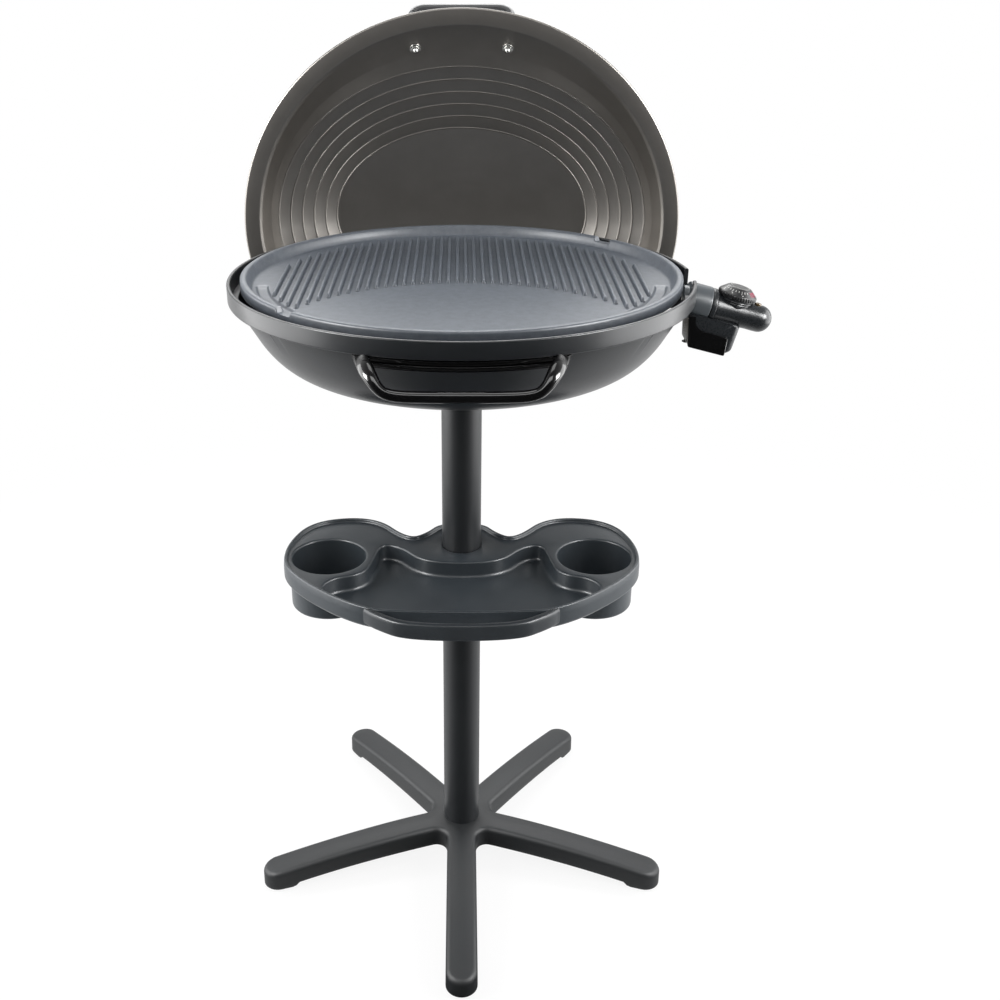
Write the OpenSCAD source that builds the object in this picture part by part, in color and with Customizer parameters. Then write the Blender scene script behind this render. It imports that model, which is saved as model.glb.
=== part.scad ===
// Free-standing electric indoor grill: an oval bowl and grill plate on a column
// with a star foot and a shelf, a plug-in controller and a lid standing in a rest.
// Millimetres. X right, Y away from the user, Z up. Origin on the floor under the column.

/* [Foot] */
// Reach of a leg from the column axis to its tip
leg_reach = 262; // [230:1:300]
// Width of a leg
leg_w = 37; // [32:1:44]
// Height of the top of a leg tip
leg_tip_h = 25; // [22:1:32]
// Height of the hub
hub_h = 46; // [42:1:60]
// Radius of the hub
hub_r = 46; // [42:1:56]
// Fillet between neighbouring legs
leg_fillet = 14; // [6:1:18]
// Wall of the hollow foot moulding
foot_wall = 4; // [3:0.5:5]
// Radius of a rubber foot pad
pad_r = 13; // [10:1:14]
// Height that a foot pad stands out below the leg
pad_out = 2; // [1:0.5:3]

/* [Column] */
// Outer diameter of the column tubes
tube_d = 45; // [40:1:50]
// Wall of the column tubes
tube_wall = 1.5; // [1:0.1:3]
// Height of the joint between the lower and the upper tube
tube_joint_z = 424; // [400:1:430]
// Length of the coupling sleeve inside the joint
coupler_l = 120; // [80:5:160]
// Diameter of the base bolt
bolt_d = 8; // [6:1:10]

/* [Shelf] */
// Height of the shelf's lip above the floor
shelf_z = 448; // [440:1:470]
// Half of the shelf's width
shelf_half_w = 204; // [200:1:220]
// Distance from the column axis to the shelf's front edge
shelf_front = 163; // [158:1:180]
// Distance from the column axis to the shelf's back edge
shelf_back = 66; // [64:1:80]
// Height of the shelf's skirt
shelf_skirt = 24; // [20:1:30]
// Wall of the shelf moulding
shelf_wall = 3; // [2:0.5:4]
// Height of the lip above the shelf's deck
shelf_lip = 4; // [2:0.5:6]
// Diameter of a cup well
cup_d = 84; // [76:1:86]
// Distance of a cup well from the middle of the shelf
cup_x = 152; // [150:1:156]
// Depth of a cup well
cup_depth = 56; // [40:1:80]
// Depth of the sunk pan
pan_depth = 20; // [12:1:20]
// Height of the front rail's section
rail_h = 19; // [14:1:22]
// Thickness of the front rail
rail_t = 7; // [5:0.5:9]
// Clear gap between the rail and the shelf in the middle
rail_gap = 16; // [12:1:24]

/* [Bowl] */
// Height of the bowl's rim above the floor
head_z = 764; // [740:1:820]
// Half of the bowl's width at its rim band
bowl_hw = 245; // [243:1:255]
// Depth of an oval divided by its width
oval = 0.938; // [0.92:0.002:0.96]
// Height of the bowl from its base to its rim
bowl_h = 99; // [96:1:120]
// Height of the rim band
band_h = 18; // [16:1:20]
// Wall of the bowl
bowl_wall = 3; // [2.5:0.25:4]
// Wall of the rim band
band_wall = 4; // [3:0.25:5]
// How far the band stands out past the bowl below it
band_step = 9; // [7:0.5:11]
// Half width of the flat base of the bowl
base_hw = 125; // [110:1:135]
// Half width of the tray opening at its top
tray_open_hw = 103; // [98:1:108]
// Height of the tray opening
tray_open_h = 16; // [15.5:0.5:20]
// Width of the notch in the rim for the plug socket
notch_w = 48; // [46:1:56]
// Length of the socket for the column under the bowl
socket_l = 34; // [25:1:40]
// Outer radius of the socket for the column
socket_r = 34; // [30:1:38]

/* [Plate] */
// Distance from the bowl's outer rim to the plate's edge
plate_set = 14; // [13:0.5:19]
// Height of the plate's rim above the bowl's rim
plate_proud = 5; // [3:0.5:8]
// Depth from the plate's rim to its cooking surface
plate_deep = 11; // [9:0.5:11.5]
// Thickness of the plate's floor
plate_floor_t = 5; // [4:0.5:5.5]
// Width of the plate's rim
plate_rim_w = 6.5; // [5:0.5:8]
// Number of ribs
rib_n = 42; // [30:1:44]
// Distance from rib to rib
rib_pitch = 9.24; // [9:0.04:9.4]
// Width of a rib
rib_w = 4.6; // [3:0.1:6]
// Height of a rib
rib_h = 4.5; // [2:0.5:6]
// Distance from the plate's edge to the ribbed zone
rib_set = 30; // [27:1:36]
// Radius of the smooth griddle zone
griddle_r = 187; // [170:1:195]
// Distance of the griddle zone's centre in front of the plate's centre
griddle_y = 200; // [190:1:210]
// Width of the drip groove
groove_w = 14; // [10:1:15]
// Length of the drain slot at the front
drain_l = 46; // [30:1:60]
// Diameter of the heating element
element_d = 7; // [6:0.5:8]
// Radius of the heating element's loop
element_r = 150; // [130:1:160]

/* [Drip tray] */
// Width of the drip tray
tray_w = 166; // [150:1:168]
// Depth of the drip tray from front to back
tray_l = 140; // [100:1:160]
// Height of the drip tray's walls
tray_h = 11; // [9:0.5:11.5]
// Wall of the drip tray
tray_wall = 1.2; // [0.8:0.1:1.5]
// Distance from the bowl's front to the tray
tray_set = 33.4; // [31:0.2:40]
// Thickness of the tray's handle bar
tray_bar_d = 11; // [9:0.5:12]
// Distance that the handle bar hangs below the bowl's rim
tray_bar_drop = 47; // [44:1:52]

/* [Lid] */
// Half of the lid's width
lid_hw = 267.5; // [262:0.5:272]
// Distance from the lid's widest line to its front edge, which is up
lid_front = 253.6; // [245:0.1:258]
// Distance from the lid's widest line to its rear edge, which is down
lid_rear = 225; // [218:1:228]
// Height of the lid's widest line below the bowl's rim
lid_drop = 5.4; // [0:0.1:10]
// Depth of the lid from its flange to its crown
lid_deep = 88; // [80:1:100]
// Thickness of the lid's sheet
lid_t = 2.5; // [2:0.25:3.5]
// Width of the lid's flange
flange_w = 18.5; // [14:0.5:20]
// Number of steps pressed into the lid
lid_steps = 6; // [4:1:7]
// Length of the lid's handle
lid_handle_l = 126; // [118:1:150]
// Distance between the two screws of the lid's handle
lid_screw_gap = 109; // [96:1:110]
// Gap between the bowl's band and the lid standing behind it
lid_gap = 6; // [4:0.5:12]

/* [Controller] */
// Downward tilt of the plug's axis, in degrees
plug_tilt = 15; // [10:1:18]
// Distance of the plug's face from the bowl's rim
plug_reach = 17; // [15:0.5:21]
// Height of the plug's face below the bowl's rim
plug_drop = 33; // [31:0.5:36]
// Outer radius of the socket shroud
shroud_r = 19.5; // [18:0.5:20]
// Length of the controller's body
ctrl_l = 72; // [66:1:80]
// Radius of the controller's body
ctrl_r = 15.5; // [14:0.5:17]
// Wall of the controller's housing
ctrl_wall = 2; // [1.5:0.25:2.5]
// Distance from the plug's face to the knob's axis
knob_s = 27; // [26.5:0.5:30]
// Radius of the knob
knob_r = 20.5; // [17:0.5:20.5]
// Height of the knob
knob_h = 12; // [10:0.5:16]
// Radius of the knob's shaft
shaft_r = 3; // [2.5:0.25:4]
// Width of the controller's lower box
box_w = 40; // [34:1:42]
// Depth of the controller's lower box below the plug's axis
box_drop = 44; // [40:1:50]

/* [Hidden] */

$fn = 64;
plastic = [0.16, 0.17, 0.19];
dark = [0.05, 0.05, 0.06];
cast = [0.38, 0.41, 0.46];
steel = [0.7, 0.7, 0.7];
bronze = [0.42, 0.41, 0.38];
eps = 0.01;
fit_gap = 0.3;
run_gap = 0.08;
oval_n = 72;

// Foot
leg_n = 5;
pad_in = 3;
leg_bottom = pad_out;
leg_arch = 13;
leg_tip_l = leg_w;
tube_r = tube_d / 2;
tube_in_r = tube_r - tube_wall;
tube_seat = 16;
seat_t = 6;
washer_t = 1.6;
bolt_head_h = 5.3;
bolt_l = 24;
plug_l = 28;

// Shelf
deck_z = shelf_z - shelf_lip;
skirt_z = shelf_z - shelf_skirt;
cup_y = -30;
cup_r = cup_d / 2;
lip_w = 4;
collar_r = 48;
collar_wall = 4;
rail_z = shelf_z - rail_h - 0.5;
rail_end_x = 104;
screw_r = 2;

// Bowl
base_z = head_z - bowl_h;
band_z = head_z - band_h;
ledge_z = band_z + 2;
side_hw = bowl_hw - band_step;
band_in = bowl_hw - band_wall;
side_in = side_hw - bowl_wall;
open_z = band_z - tray_open_h;
socket_z = base_z - socket_l;
socket_flange_t = 5;
socket_flange_r = 62;
tube_top = base_z - 3;
notch_z = head_z - 52;

// Plate
plate_hw = bowl_hw - plate_set;
rib_zone_hw = plate_hw - rib_set;
support_w = 28;
rim_z = head_z + plate_proud;
cook_z = rim_z - plate_deep;
under_z = cook_z - plate_floor_t;
floor_hw = plate_hw - plate_rim_w - 3.5;
element_z = under_z - element_d / 2 - 0.1;
element_lead_y = 15;
block_x = plate_hw - 35;
block_l = 34;
block_h = 20;
element_lead_x = block_x + 11;

// Drip tray
tray_z = open_z + 1;
tray_front = -oval * side_hw + tray_set;
tray_back = tray_front + tray_l;
runner_w = 8;
bar_r = tray_bar_d / 2;
bar_z = head_z - tray_bar_drop;
bar_y = -oval * bowl_hw - bar_r - 3;
front_out = side_hw - 1;
front_w = tray_open_hw - 6;

// Lid
lid_y = oval * bowl_hw + lid_gap;
lid_z = head_z - lid_drop;
// Rings of the lid's inner face: half width, distance up to the front edge, depth
flange_in = [lid_hw - flange_w, lid_front - flange_w, 0];
band_a = flange_in + [-3, -4, 5];
band_b = flange_in + [-11, -30, 26];
first_step = flange_in + [-18, -48.5, 39.5];
last_step = flange_in + [-88, -124, lid_deep - 11];
riser = 2.5;
grip_r = 9;
grip_out = 60;
rest_x = 60;
rest_t = 4;
rest_foot_y = 100;
rest_foot_w = 24;
rest_foot_t = 3;
rest_screw_x = 36;
foot_seat = lid_t * sqrt(2) + fit_gap;
lid_screw_l = 20;
head_r = 4;
// Seat of a handle screw on the sloped band between band_a and band_b, and the outward direction there
seat_ring = band_a + 0.65 * (band_b - band_a);
seat_x = lid_screw_gap / 2;
seat_angle = acos(seat_x / seat_ring[0]);
seat = [seat_x, lid_y + seat_ring[2], lid_z + seat_ring[1] * sin(seat_angle)];
seat_along = [-seat_ring[0] * sin(seat_angle), 0, seat_ring[1] * cos(seat_angle)];
seat_across = let (d = band_b - band_a) [d[0] * cos(seat_angle), d[2], d[1] * sin(seat_angle)];
seat_cross = cross(seat_along, seat_across);
seat_out = seat_cross / norm(seat_cross) * (seat_cross[1] > 0 ? 1 : -1);
grip_y = seat[1] + grip_out * seat_out[1];
grip_z = seat[2] + grip_out * seat_out[2];

// Controller
plug_x = bowl_hw + plug_reach;
plug_z = head_z - plug_drop;
clear = 60;
pin_y = 9.5;
pin_r = 2.5;
sleeve_r = 4.6;
probe_r = 3;
probe_l = 50;
shroud_l = 25;
shroud_wall = 2;
collar_l = 6.2;
box_in = 22;
box_out = 38;
box_top = 8;
cover_t = 2.2;
cover_top = 24;
cover_tab = 8;
pedestal_h = ctrl_r + 1;

// Points of an oval, and of one whose lower half is flatter
function oval_points(hw,
    n = oval_n) = [for (i = [0:n - 1]) [hw * cos(360 * i / n), oval * hw * sin(360 * i / n)]];
function egg_points(hw, up, down, n = oval_n) =
  [for (i = [0:n - 1]) let (s = sin(360 * i / n)) [hw * cos(360 * i / n), (s > 0 ? up : down) * s]];

// A closed smooth curve that touches the middle of each side of a control polygon
function mid(a, b) = (a + b) / 2;
function arc_point(a, c, b, t) = (1 - t) * (1 - t) * a + 2 * t * (1 - t) * c + t * t * b;
function smooth(c, k = 6) = let (n = len(c))
  [for (i = [0:n - 1]) for (j = [0:k - 1])
    arc_point(mid(c[i], c[(i + 1) % n]), c[(i + 1) % n], mid(c[(i + 1) % n], c[(i + 2) % n]), j / k)];
// The same curve with open ends
function smooth_open(c, k = 6) = let (n = len(c)) concat([c[0]],
  [for (i = [1:n - 2]) for (j = [0:k]) arc_point(mid(c[i - 1], c[i]),
      c[i], mid(c[i], c[i + 1]), j / k)], [c[n - 1]]);
function mirrored(h) = concat(h, [for (i = [len(h) - 1:-1:0]) [-h[i][0], h[i][1]]]);

// A solid skinned over rings that have the same number of points
module skin(rings) {
  n = len(rings[0]);
  m = len(rings);
  sides = [for (j = [0:m - 2]) for (i = [0:n - 1]) [j * n + i,
      j * n + (i + 1) % n, (j + 1) * n + (i + 1) % n, (j + 1) * n + i]];
  first = [[for (i = [n - 1:-1:0]) i]];
  last = [[for (i = [0:n - 1]) (m - 1) * n + i]];
  polyhedron([for (r = rings) each r], concat(first, sides, last), convexity = 8);
}
// Rings of an oval shape from pairs of half width and height
function oval_rings(profile) = [for (p = profile) [for (q = oval_points(p[0])) [q[0], q[1], p[1]]]];
// A flat oval ring with a height
module oval_band(outer, inner, h) linear_extrude(h) difference() {
  polygon(oval_points(outer));
  polygon(oval_points(inner));
}

// Frame of the plug: Z runs out along the plug's axis, X points down
module at_plug() translate([plug_x, 0, plug_z]) rotate([0, 90 + plug_tilt, 0]) children();
// Frame of the knob: Z runs up along the knob's axis
module at_knob() at_plug() translate([0, 0, knob_s]) rotate([0, -90, 0]) children();

// Foot: profile of a leg from the hub to the tip, swept round and cut to the star's outline
function leg_top(r) = r < hub_r ? hub_h : leg_tip_h
    + (hub_h - leg_tip_h) * (1 - pow((r - hub_r) / (leg_reach - hub_r), 1.7));
function leg_low(r) = let (inner = leg_reach - leg_tip_l)
  r > inner ? leg_bottom : leg_bottom + 5 + leg_arch * (1 - pow(r / inner, 2.4));
function turn(r, a) = r * [cos(a), sin(a)];
function star_points(grow = 0) = let (c = (leg_w / 2 + leg_fillet) / sin(180 / leg_n))
  [for (i = [0:leg_n - 1]) let (a = 360 * i / leg_n - 90) each concat(
    [for (t = [-90:15:90]) turn(leg_reach - leg_w / 2, a) + turn(leg_w / 2 + grow, a + t)],
    [for (k = [0:6]) turn(c, a + 180 / leg_n)
        + turn(leg_fillet - grow, a + 270 - k * (180 - 360 / leg_n) / 6)])];
module leg_sweep(drop = 0) rotate_extrude($fn = 96) polygon(concat(
  [for (i = [0:24]) let (r = leg_reach * i / 24) [r + (i == 24 ? 5 : 0), leg_top(r) - drop]],
  [for (i = [24:-1:0]) let (r = leg_reach * i / 24) [r + (i == 24 ? 5 : 0), drop > 0 ? -1 : leg_low(r)]]));
module base_star() color(plastic) difference() {
  intersection() {
    linear_extrude(hub_h) polygon(star_points());
    leg_sweep();
  }
  intersection() {
    translate([0, 0, -1]) linear_extrude(hub_h) polygon(star_points(-foot_wall));
    leg_sweep(foot_wall);
    difference() {
      cylinder(r = leg_reach - leg_tip_l - foot_wall, h = hub_h);
      translate([0, 0, -1]) cylinder(r = tube_r + foot_wall + 1, h = hub_h + 2);
    }
  }
  translate([0, 0, tube_seat]) cylinder(r = tube_r + run_gap, h = hub_h);
  translate([0, 0, -1]) cylinder(r = bolt_d / 2 + 0.3, h = hub_h);
  translate([0, 0, -1]) cylinder(r = tube_in_r - 3, h = tube_seat - seat_t + 1);
  for (i = [0:leg_n - 1]) rotate(360 * i / leg_n - 90) translate([leg_reach - leg_w / 2, 0, -1])
    cylinder(r = pad_r, h = leg_bottom + pad_in + 1);
}
module foot_pads() color(dark) for (i = [0:leg_n - 1]) rotate(360 * i / leg_n - 90)
  translate([leg_reach - leg_w / 2, 0, 0]) cylinder(r = pad_r, h = leg_bottom + pad_in);

// Column
module tube(from, to, r, wall) translate([0, 0, from]) difference() {
  cylinder(r = r, h = to - from);
  translate([0, 0, -1]) cylinder(r = r - wall, h = to - from + 2);
}
module lower_tube() color(plastic) tube(tube_seat, tube_joint_z, tube_r, tube_wall);
module upper_tube() color(plastic) tube(tube_joint_z, tube_top, tube_r, tube_wall);
module tube_coupler() color(steel) tube(tube_joint_z - coupler_l / 2,
    tube_joint_z + coupler_l / 2, tube_in_r - run_gap, 1.5);
module tube_plug() color(steel) tube(tube_seat, tube_seat + plug_l,
    tube_in_r - run_gap, tube_in_r - run_gap - bolt_d / 2 - 0.05);
module base_washer() color(steel) tube(tube_seat - seat_t - washer_t,
    tube_seat - seat_t, bolt_d, bolt_d / 2 - 0.4);
module base_bolt() color(steel) translate([0, 0, tube_seat - seat_t - washer_t]) {
  translate([0, 0, -bolt_head_h]) cylinder(r = bolt_d * 0.85, h = bolt_head_h, $fn = 6);
  translate([0, 0, -eps]) cylinder(r = bolt_d / 2, h = seat_t + washer_t + bolt_l);
}

// Shelf: half of its outline from the front to the back, then mirrored
shelf_half = [[50, -shelf_front], [112, -shelf_front + 7], [shelf_half_w - 5, -74], [shelf_half_w + 2, -10],
  [shelf_half_w - 24, shelf_back - 10], [104, shelf_back], [62, 8], [42, 22], [26, collar_r]];
pan_half = [[45, -shelf_front + 5], [95, -shelf_front + 12],
    [cup_x + 4, -112], [cup_x - 6, -82], [cup_x - 44, -72],
  [cup_x - 52, -34], [cup_x - 58, 0], [70, -8], [50, -36], [22, -46]];
module shelf_outline(grow = 0) offset(delta = grow) polygon(smooth(mirrored(shelf_half)));
module pan_outline(grow = 0) offset(delta = grow) polygon(smooth(mirrored(pan_half)));
module each_cup() for (s = [-1, 1]) translate([s * cup_x, cup_y, 0]) children();
module shelf() color(plastic) difference() {
  union() {
    translate([0, 0, skirt_z]) linear_extrude(shelf_skirt) shelf_outline();
    each_cup() translate([0, 0, deck_z - cup_depth - shelf_wall]) cylinder(r = cup_r + shelf_wall,
        h = cup_depth);
    translate([0, 0, deck_z - pan_depth - shelf_wall]) linear_extrude(pan_depth) pan_outline(shelf_wall);
  }
  translate([0, 0, deck_z]) linear_extrude(shelf_lip + 1) shelf_outline(-lip_w);
  difference() {
    translate([0, 0, skirt_z - 1]) linear_extrude(shelf_skirt
        - shelf_lip - shelf_wall + 1) shelf_outline(-shelf_wall);
    each_cup() cylinder(r = cup_r + shelf_wall, h = shelf_z);
    linear_extrude(shelf_z) pan_outline(shelf_wall);
    cylinder(r = tube_r + collar_wall + run_gap, h = shelf_z);
  }
  each_cup() translate([0, 0, deck_z - cup_depth]) cylinder(r = cup_r, h = cup_depth + 2);
  translate([0, 0, deck_z - pan_depth]) linear_extrude(pan_depth + 2) pan_outline();
  cylinder(r = tube_r + run_gap, h = shelf_z + 1);
  for (s = [-1, 1]) translate([0, 0, skirt_z + 7]) rotate([0, s * 90, 0]) cylinder(r = screw_r + 0.1,
      h = collar_r);
  at_rail_screw() translate([0, 0, -2]) cylinder(r = 3.7, h = 2);
  at_rail_screw() cylinder(r = screw_r + 0.1, h = 10);
}
module at_rail_screw() for (s = [-1, 1]) translate([s * (rail_end_x - 10),
    -shelf_front + 9.6, rail_z + rail_h / 2]) rotate([90, 0, 0]) children();
module shelf_screws() color(steel) for (s = [-1, 1]) translate([0, 0, skirt_z + 7]) rotate([0, s * 90, 0]) {
  translate([0, 0, tube_r + 0.1]) cylinder(r = screw_r, h = collar_wall + 2);
  translate([0, 0, tube_r + collar_wall + run_gap + 0.1]) cylinder(r = head_r, h = 3);
}
// Front rail: a bowed bar that springs from two feet on the shelf's skirt
rail_ctrl = [[rail_end_x, -shelf_front + 9], [rail_end_x - 12, -shelf_front - 4],
    [rail_end_x * 0.55, -shelf_front - rail_gap - rail_t - 4]];
module rail_outline() polygon(concat(
  smooth_open(mirrored(rail_ctrl)),
  [for (p = smooth_open(mirrored([[rail_end_x - 12, -shelf_front + 9],
      rail_ctrl[1] + [-7, 6], rail_ctrl[2] + [-5, rail_t + 1]]))) [-p[0], p[1]]]));
module shelf_rail() color(plastic) difference() {
  translate([0, 0, rail_z]) linear_extrude(rail_h) rail_outline();
  translate([0, 0, rail_z - 1]) linear_extrude(rail_h + 2) shelf_outline(0.05);
  at_rail_screw() cylinder(r = screw_r, h = 8);
}
module rail_screws() color(steel) at_rail_screw() {
  cylinder(r = screw_r, h = 8);
  translate([0, 0, -1.8]) cylinder(r = 3.5, h = 1.8);
}

// Bowl: the side is one smooth curve from the flat base to the step under the band
side_curve = smooth_open([[base_hw - 25, base_z], [base_hw + 25, base_z],
    [side_hw - 34, base_z + 19], [side_hw, band_z - 1]]);
side_curve_in = smooth_open([[base_hw - 25, base_z + bowl_wall], [base_hw + 24, base_z + bowl_wall],
  [side_in - 34, base_z + 20.5], [side_in, band_z - 1]]);
function flip(l) = [for (i = [len(l) - 1:-1:0]) l[i]];
bowl_profile = concat(side_curve_in,
  [[side_in, ledge_z], [band_in - 0.5, ledge_z], [band_in, head_z - 2], [band_in + 1, head_z],
   [bowl_hw - 1.5, head_z], [bowl_hw, head_z - 2], [bowl_hw,
       band_z + 1.5], [bowl_hw - 1, band_z], [side_hw + 1, band_z]],
  flip(side_curve));
module tray_mouth(grow = 0) translate([0, 0, open_z - grow]) rotate([90, 0, 0]) linear_extrude(bowl_hw + 10)
  polygon([[-tray_open_hw + 15 - grow, 0], [tray_open_hw - 15 + grow, 0],
      [tray_open_hw + grow, tray_open_h + grow],
    [-tray_open_hw - grow, tray_open_h + grow]]);
module rim_recess(angle) translate([(side_hw - 3) * cos(angle),
    oval * (side_hw - 3) * sin(angle), band_z - 9])
  rotate(angle) translate([0, -8, 0]) cube([band_step + 1, 16, 9 - eps]);
module bowl_shell() color(cast * 0.75) difference() {
  skin(oval_rings(bowl_profile));
  difference() {
    tray_mouth();
    translate([-bowl_hw, -oval * side_in * 0.75, 0]) cube([2 * bowl_hw, bowl_hw, head_z]);
  }
  translate([side_in - 30, -notch_w / 2, notch_z]) cube([clear, notch_w, clear]);
  for (a = [-40, 220]) rim_recess(a);
  for (i = [0:3]) rotate(90 * i + 45) translate([socket_flange_r - 10, 0, 0]) cylinder(r = screw_r + 0.1,
      h = head_z);
  for (s = [-1, 1]) translate([s * rest_screw_x, rest_foot_y, 0]) cylinder(r = screw_r + 0.1, h = head_z);
}
module column_socket() color(plastic) translate([0, 0, socket_z]) difference() {
  union() {
    cylinder(r = socket_r, h = socket_l);
    translate([0, 0, socket_l - socket_flange_t]) cylinder(r = socket_flange_r, h = socket_flange_t);
  }
  translate([0, 0, -1]) cylinder(r = tube_r + run_gap, h = tube_top - socket_z + 1.05);
  for (i = [0:3]) rotate(90 * i + 45) translate([socket_flange_r - 10, 0, 0]) cylinder(r = screw_r + 0.1,
      h = socket_l + 1);
}
module socket_screws() color(steel) for (i = [0:3]) rotate(90 * i
    + 45) translate([socket_flange_r - 10, 0, 0]) {
  translate([0, 0, base_z - socket_flange_t - 2.5]) cylinder(r = 4, h = 2.5);
  translate([0, 0, base_z - socket_flange_t - eps]) cylinder(r = screw_r,
      h = socket_flange_t + bowl_wall - 0.2);
}
// Reflector: a thin dish lying in the base of the bowl
reflector_t = 0.8;
reflector_w = 34;
reflector_h = 17;
function reflector_side(z) = [[base_hw - 12, z], [base_hw - 1, z + 1.2],
    [base_hw + reflector_w, z + reflector_h]];
module heat_reflector() color(steel) let (z = base_z + bowl_wall + fit_gap)
  skin(oval_rings(concat(reflector_side(z + reflector_t), flip(reflector_side(z)))));
module plate_supports() color(dark) translate([0, 0, ledge_z]) intersection() {
  oval_band(band_in - 0.8, plate_hw - 13, under_z - ledge_z);
  for (a = [45, 135, 225, 315]) rotate(a) translate([base_hw,
      -support_w / 2, -1]) cube([bowl_hw, support_w, band_h]);
}
// Runners: angles that carry the tray's edges, each on a post that stands on the reflector
runner_set = 22;
runner_front = tray_front + runner_set;
runner_stop = 6;
runner_lip = 3;
runner_t = 1.2;
runner_x = tray_w / 2 - runner_lip;
post_l = 20;
post_z = base_z + bowl_wall + fit_gap + reflector_t;
module tray_runners() color(steel) for (s = [0, 1]) mirror([s, 0, 0]) {
  difference() {
    translate([runner_x, runner_front, tray_z - runner_t]) cube([runner_w,
        tray_back + runner_stop - runner_front, tray_h + 2]);
    translate([runner_x - 1, runner_front - 1, tray_z]) cube([runner_lip + fit_gap + 1,
        tray_back + fit_gap - runner_front + 1, tray_h + 3]);
  }
  translate([runner_x + runner_lip + fit_gap, tray_back + runner_stop - post_l, post_z])
    cube([runner_w - runner_lip - fit_gap, post_l, tray_z - post_z]);
}
// Lid rest: two flat arms under the bowl, with slots for the lid's lower edge and fingers behind the lid
rest_side = rest_x - rest_t / 2;
function low_at(hw, up) = lid_z - up * lid_rear / lid_front * sqrt(1 - pow(rest_side / hw, 2));
function rest_point(ring) = [lid_y + ring[2] + lid_t + fit_gap,
    low_at(ring[0] + lid_t, ring[1] + lid_t) - fit_gap];
rest_low = low_at(lid_hw, lid_front) - fit_gap;
module lid_rest() color(dark) {
  for (s = [-1, 1]) translate([s * rest_x - rest_t / 2, 0,
      0]) rotate([90, 0, 90]) linear_extrude(rest_t) polygon([
    [70, base_z], [70, base_z - 9], [125, base_z - 14], [lid_y - 14, rest_low - 2], [lid_y - 6, rest_low - 5],
    [lid_y + 18, rest_low - 4], rest_point(band_b) + [8, -6], rest_point(band_b) + [6, 4], rest_point(band_b),
    rest_point(band_a), rest_point(flange_in), [lid_y + lid_t + fit_gap,
        rest_low], [lid_y - fit_gap, rest_low],
    [lid_y - fit_gap, rest_low + 12], [lid_y - 6, rest_low + 12], [132, base_z - 4], [118, base_z]]);
  translate([0, rest_foot_y, base_z - rest_foot_t]) difference() {
    translate([-rest_x - 12, -rest_foot_w / 2, 0]) cube([2 * rest_x + 24, rest_foot_w, rest_foot_t]);
    for (s = [-1, 1]) translate([s * rest_screw_x, 0, -1]) cylinder(r = screw_r + 0.1, h = 5);
  }
}
module lid_rest_screws() color(steel) for (s = [-1,
    1]) translate([s * rest_screw_x, rest_foot_y, base_z - rest_foot_t]) {
  translate([0, 0, -2.5]) cylinder(r = 4, h = 2.5);
  translate([0, 0, -eps]) cylinder(r = screw_r, h = rest_foot_t + bowl_wall - 0.2);
}

// Plate
plate_profile = [[floor_hw, cook_z], [plate_hw - plate_rim_w, rim_z - 1], [plate_hw - plate_rim_w + 1, rim_z],
  [plate_hw - 1.2, rim_z], [plate_hw, rim_z - 1.2], [plate_hw, under_z + 3.5], [plate_hw - 4.5, under_z + 3],
  [plate_hw - 6.5, under_z]];
function plate_arc(x) = oval * rib_zone_hw * sqrt(max(0, 1 - pow(x / rib_zone_hw, 2)));
function rib_front(x) = max(-plate_arc(x),
    abs(x) < griddle_r ? sqrt(griddle_r * griddle_r - x * x) - griddle_y : -griddle_y);
module ribs() for (i = [0:rib_n - 1]) {
  x = (i - (rib_n - 1) / 2) * rib_pitch;
  edge = abs(x) + rib_w / 2;
  translate([x - rib_w / 2, rib_front(x), cook_z - 1]) cube([rib_w,
      plate_arc(edge) - rib_front(x), rib_h + 1]);
}
module rim_notch(angle) translate([plate_hw * cos(angle), oval * plate_hw * sin(angle), rim_z - 5])
  rotate(angle) translate([-plate_rim_w - 5, -11, 0]) cube([plate_rim_w + 8, 22, 6]);
module grill_plate() color(cast) difference() {
  union() {
    skin(oval_rings(plate_profile));
    ribs();
  }
  difference() {
    translate([0, 0, cook_z - 2]) oval_band(rib_zone_hw + groove_w + 1, rib_zone_hw + 1, 2 + eps);
    translate([-plate_hw, -24, 0]) cube([2 * plate_hw, plate_hw + 50, rim_z]);
  }
  translate([-drain_l / 2, -oval * (rib_zone_hw + groove_w - 1),
      under_z - 1]) cube([drain_l, groove_w * 0.5, plate_floor_t + 2]);
  for (a = [43, 223]) rim_notch(a);
}
// Element: a loop that is open to the right, with two leads to the terminal block
loop_open = asin(element_lead_y / element_r);
module heating_element() color(steel) translate([0, 0, element_z]) {
  rotate(loop_open) rotate_extrude(angle = 360 - 2 * loop_open,
      $fn = 96) translate([element_r, 0]) circle(element_d / 2, $fn = 24);
  for (s = [-1, 1]) translate([element_r * cos(loop_open) - element_d / 2,
      s * element_lead_y, 0]) rotate([0, 90, 0])
    cylinder(r = element_d / 2, h = element_lead_x - element_r * cos(loop_open) + element_d / 2, $fn = 24);
}
module element_clips() color(steel) for (a = [60, 120, 180, 240,
    300]) rotate(a) translate([element_r - 12, -5, element_z - element_d / 2 - 1.6])
  difference() {
    cube([24, 10, under_z - element_z + element_d / 2 + 1.6]);
    translate([4, -1, 1.5]) cube([16, 12, 20]);
  }
module terminal_block() color(dark) difference() {
  translate([block_x, -notch_w / 2 + 5, under_z - block_h]) cube([block_l, notch_w - 10, block_h]);
  for (s = [-1, 1]) translate([block_x - 1, s * element_lead_y, element_z]) rotate([0, 90, 0])
    cylinder(r = element_d / 2 + 0.05, h = element_lead_x - block_x + 1, $fn = 24);
  at_plug() translate([0, 0, -probe_l - 2]) cylinder(r = probe_r + run_gap, h = probe_l + 2);
  for (s = [-1, 1]) at_plug() translate([0, s * pin_y, -40]) cylinder(r = pin_r + 0.02, h = 40);
}
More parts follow.
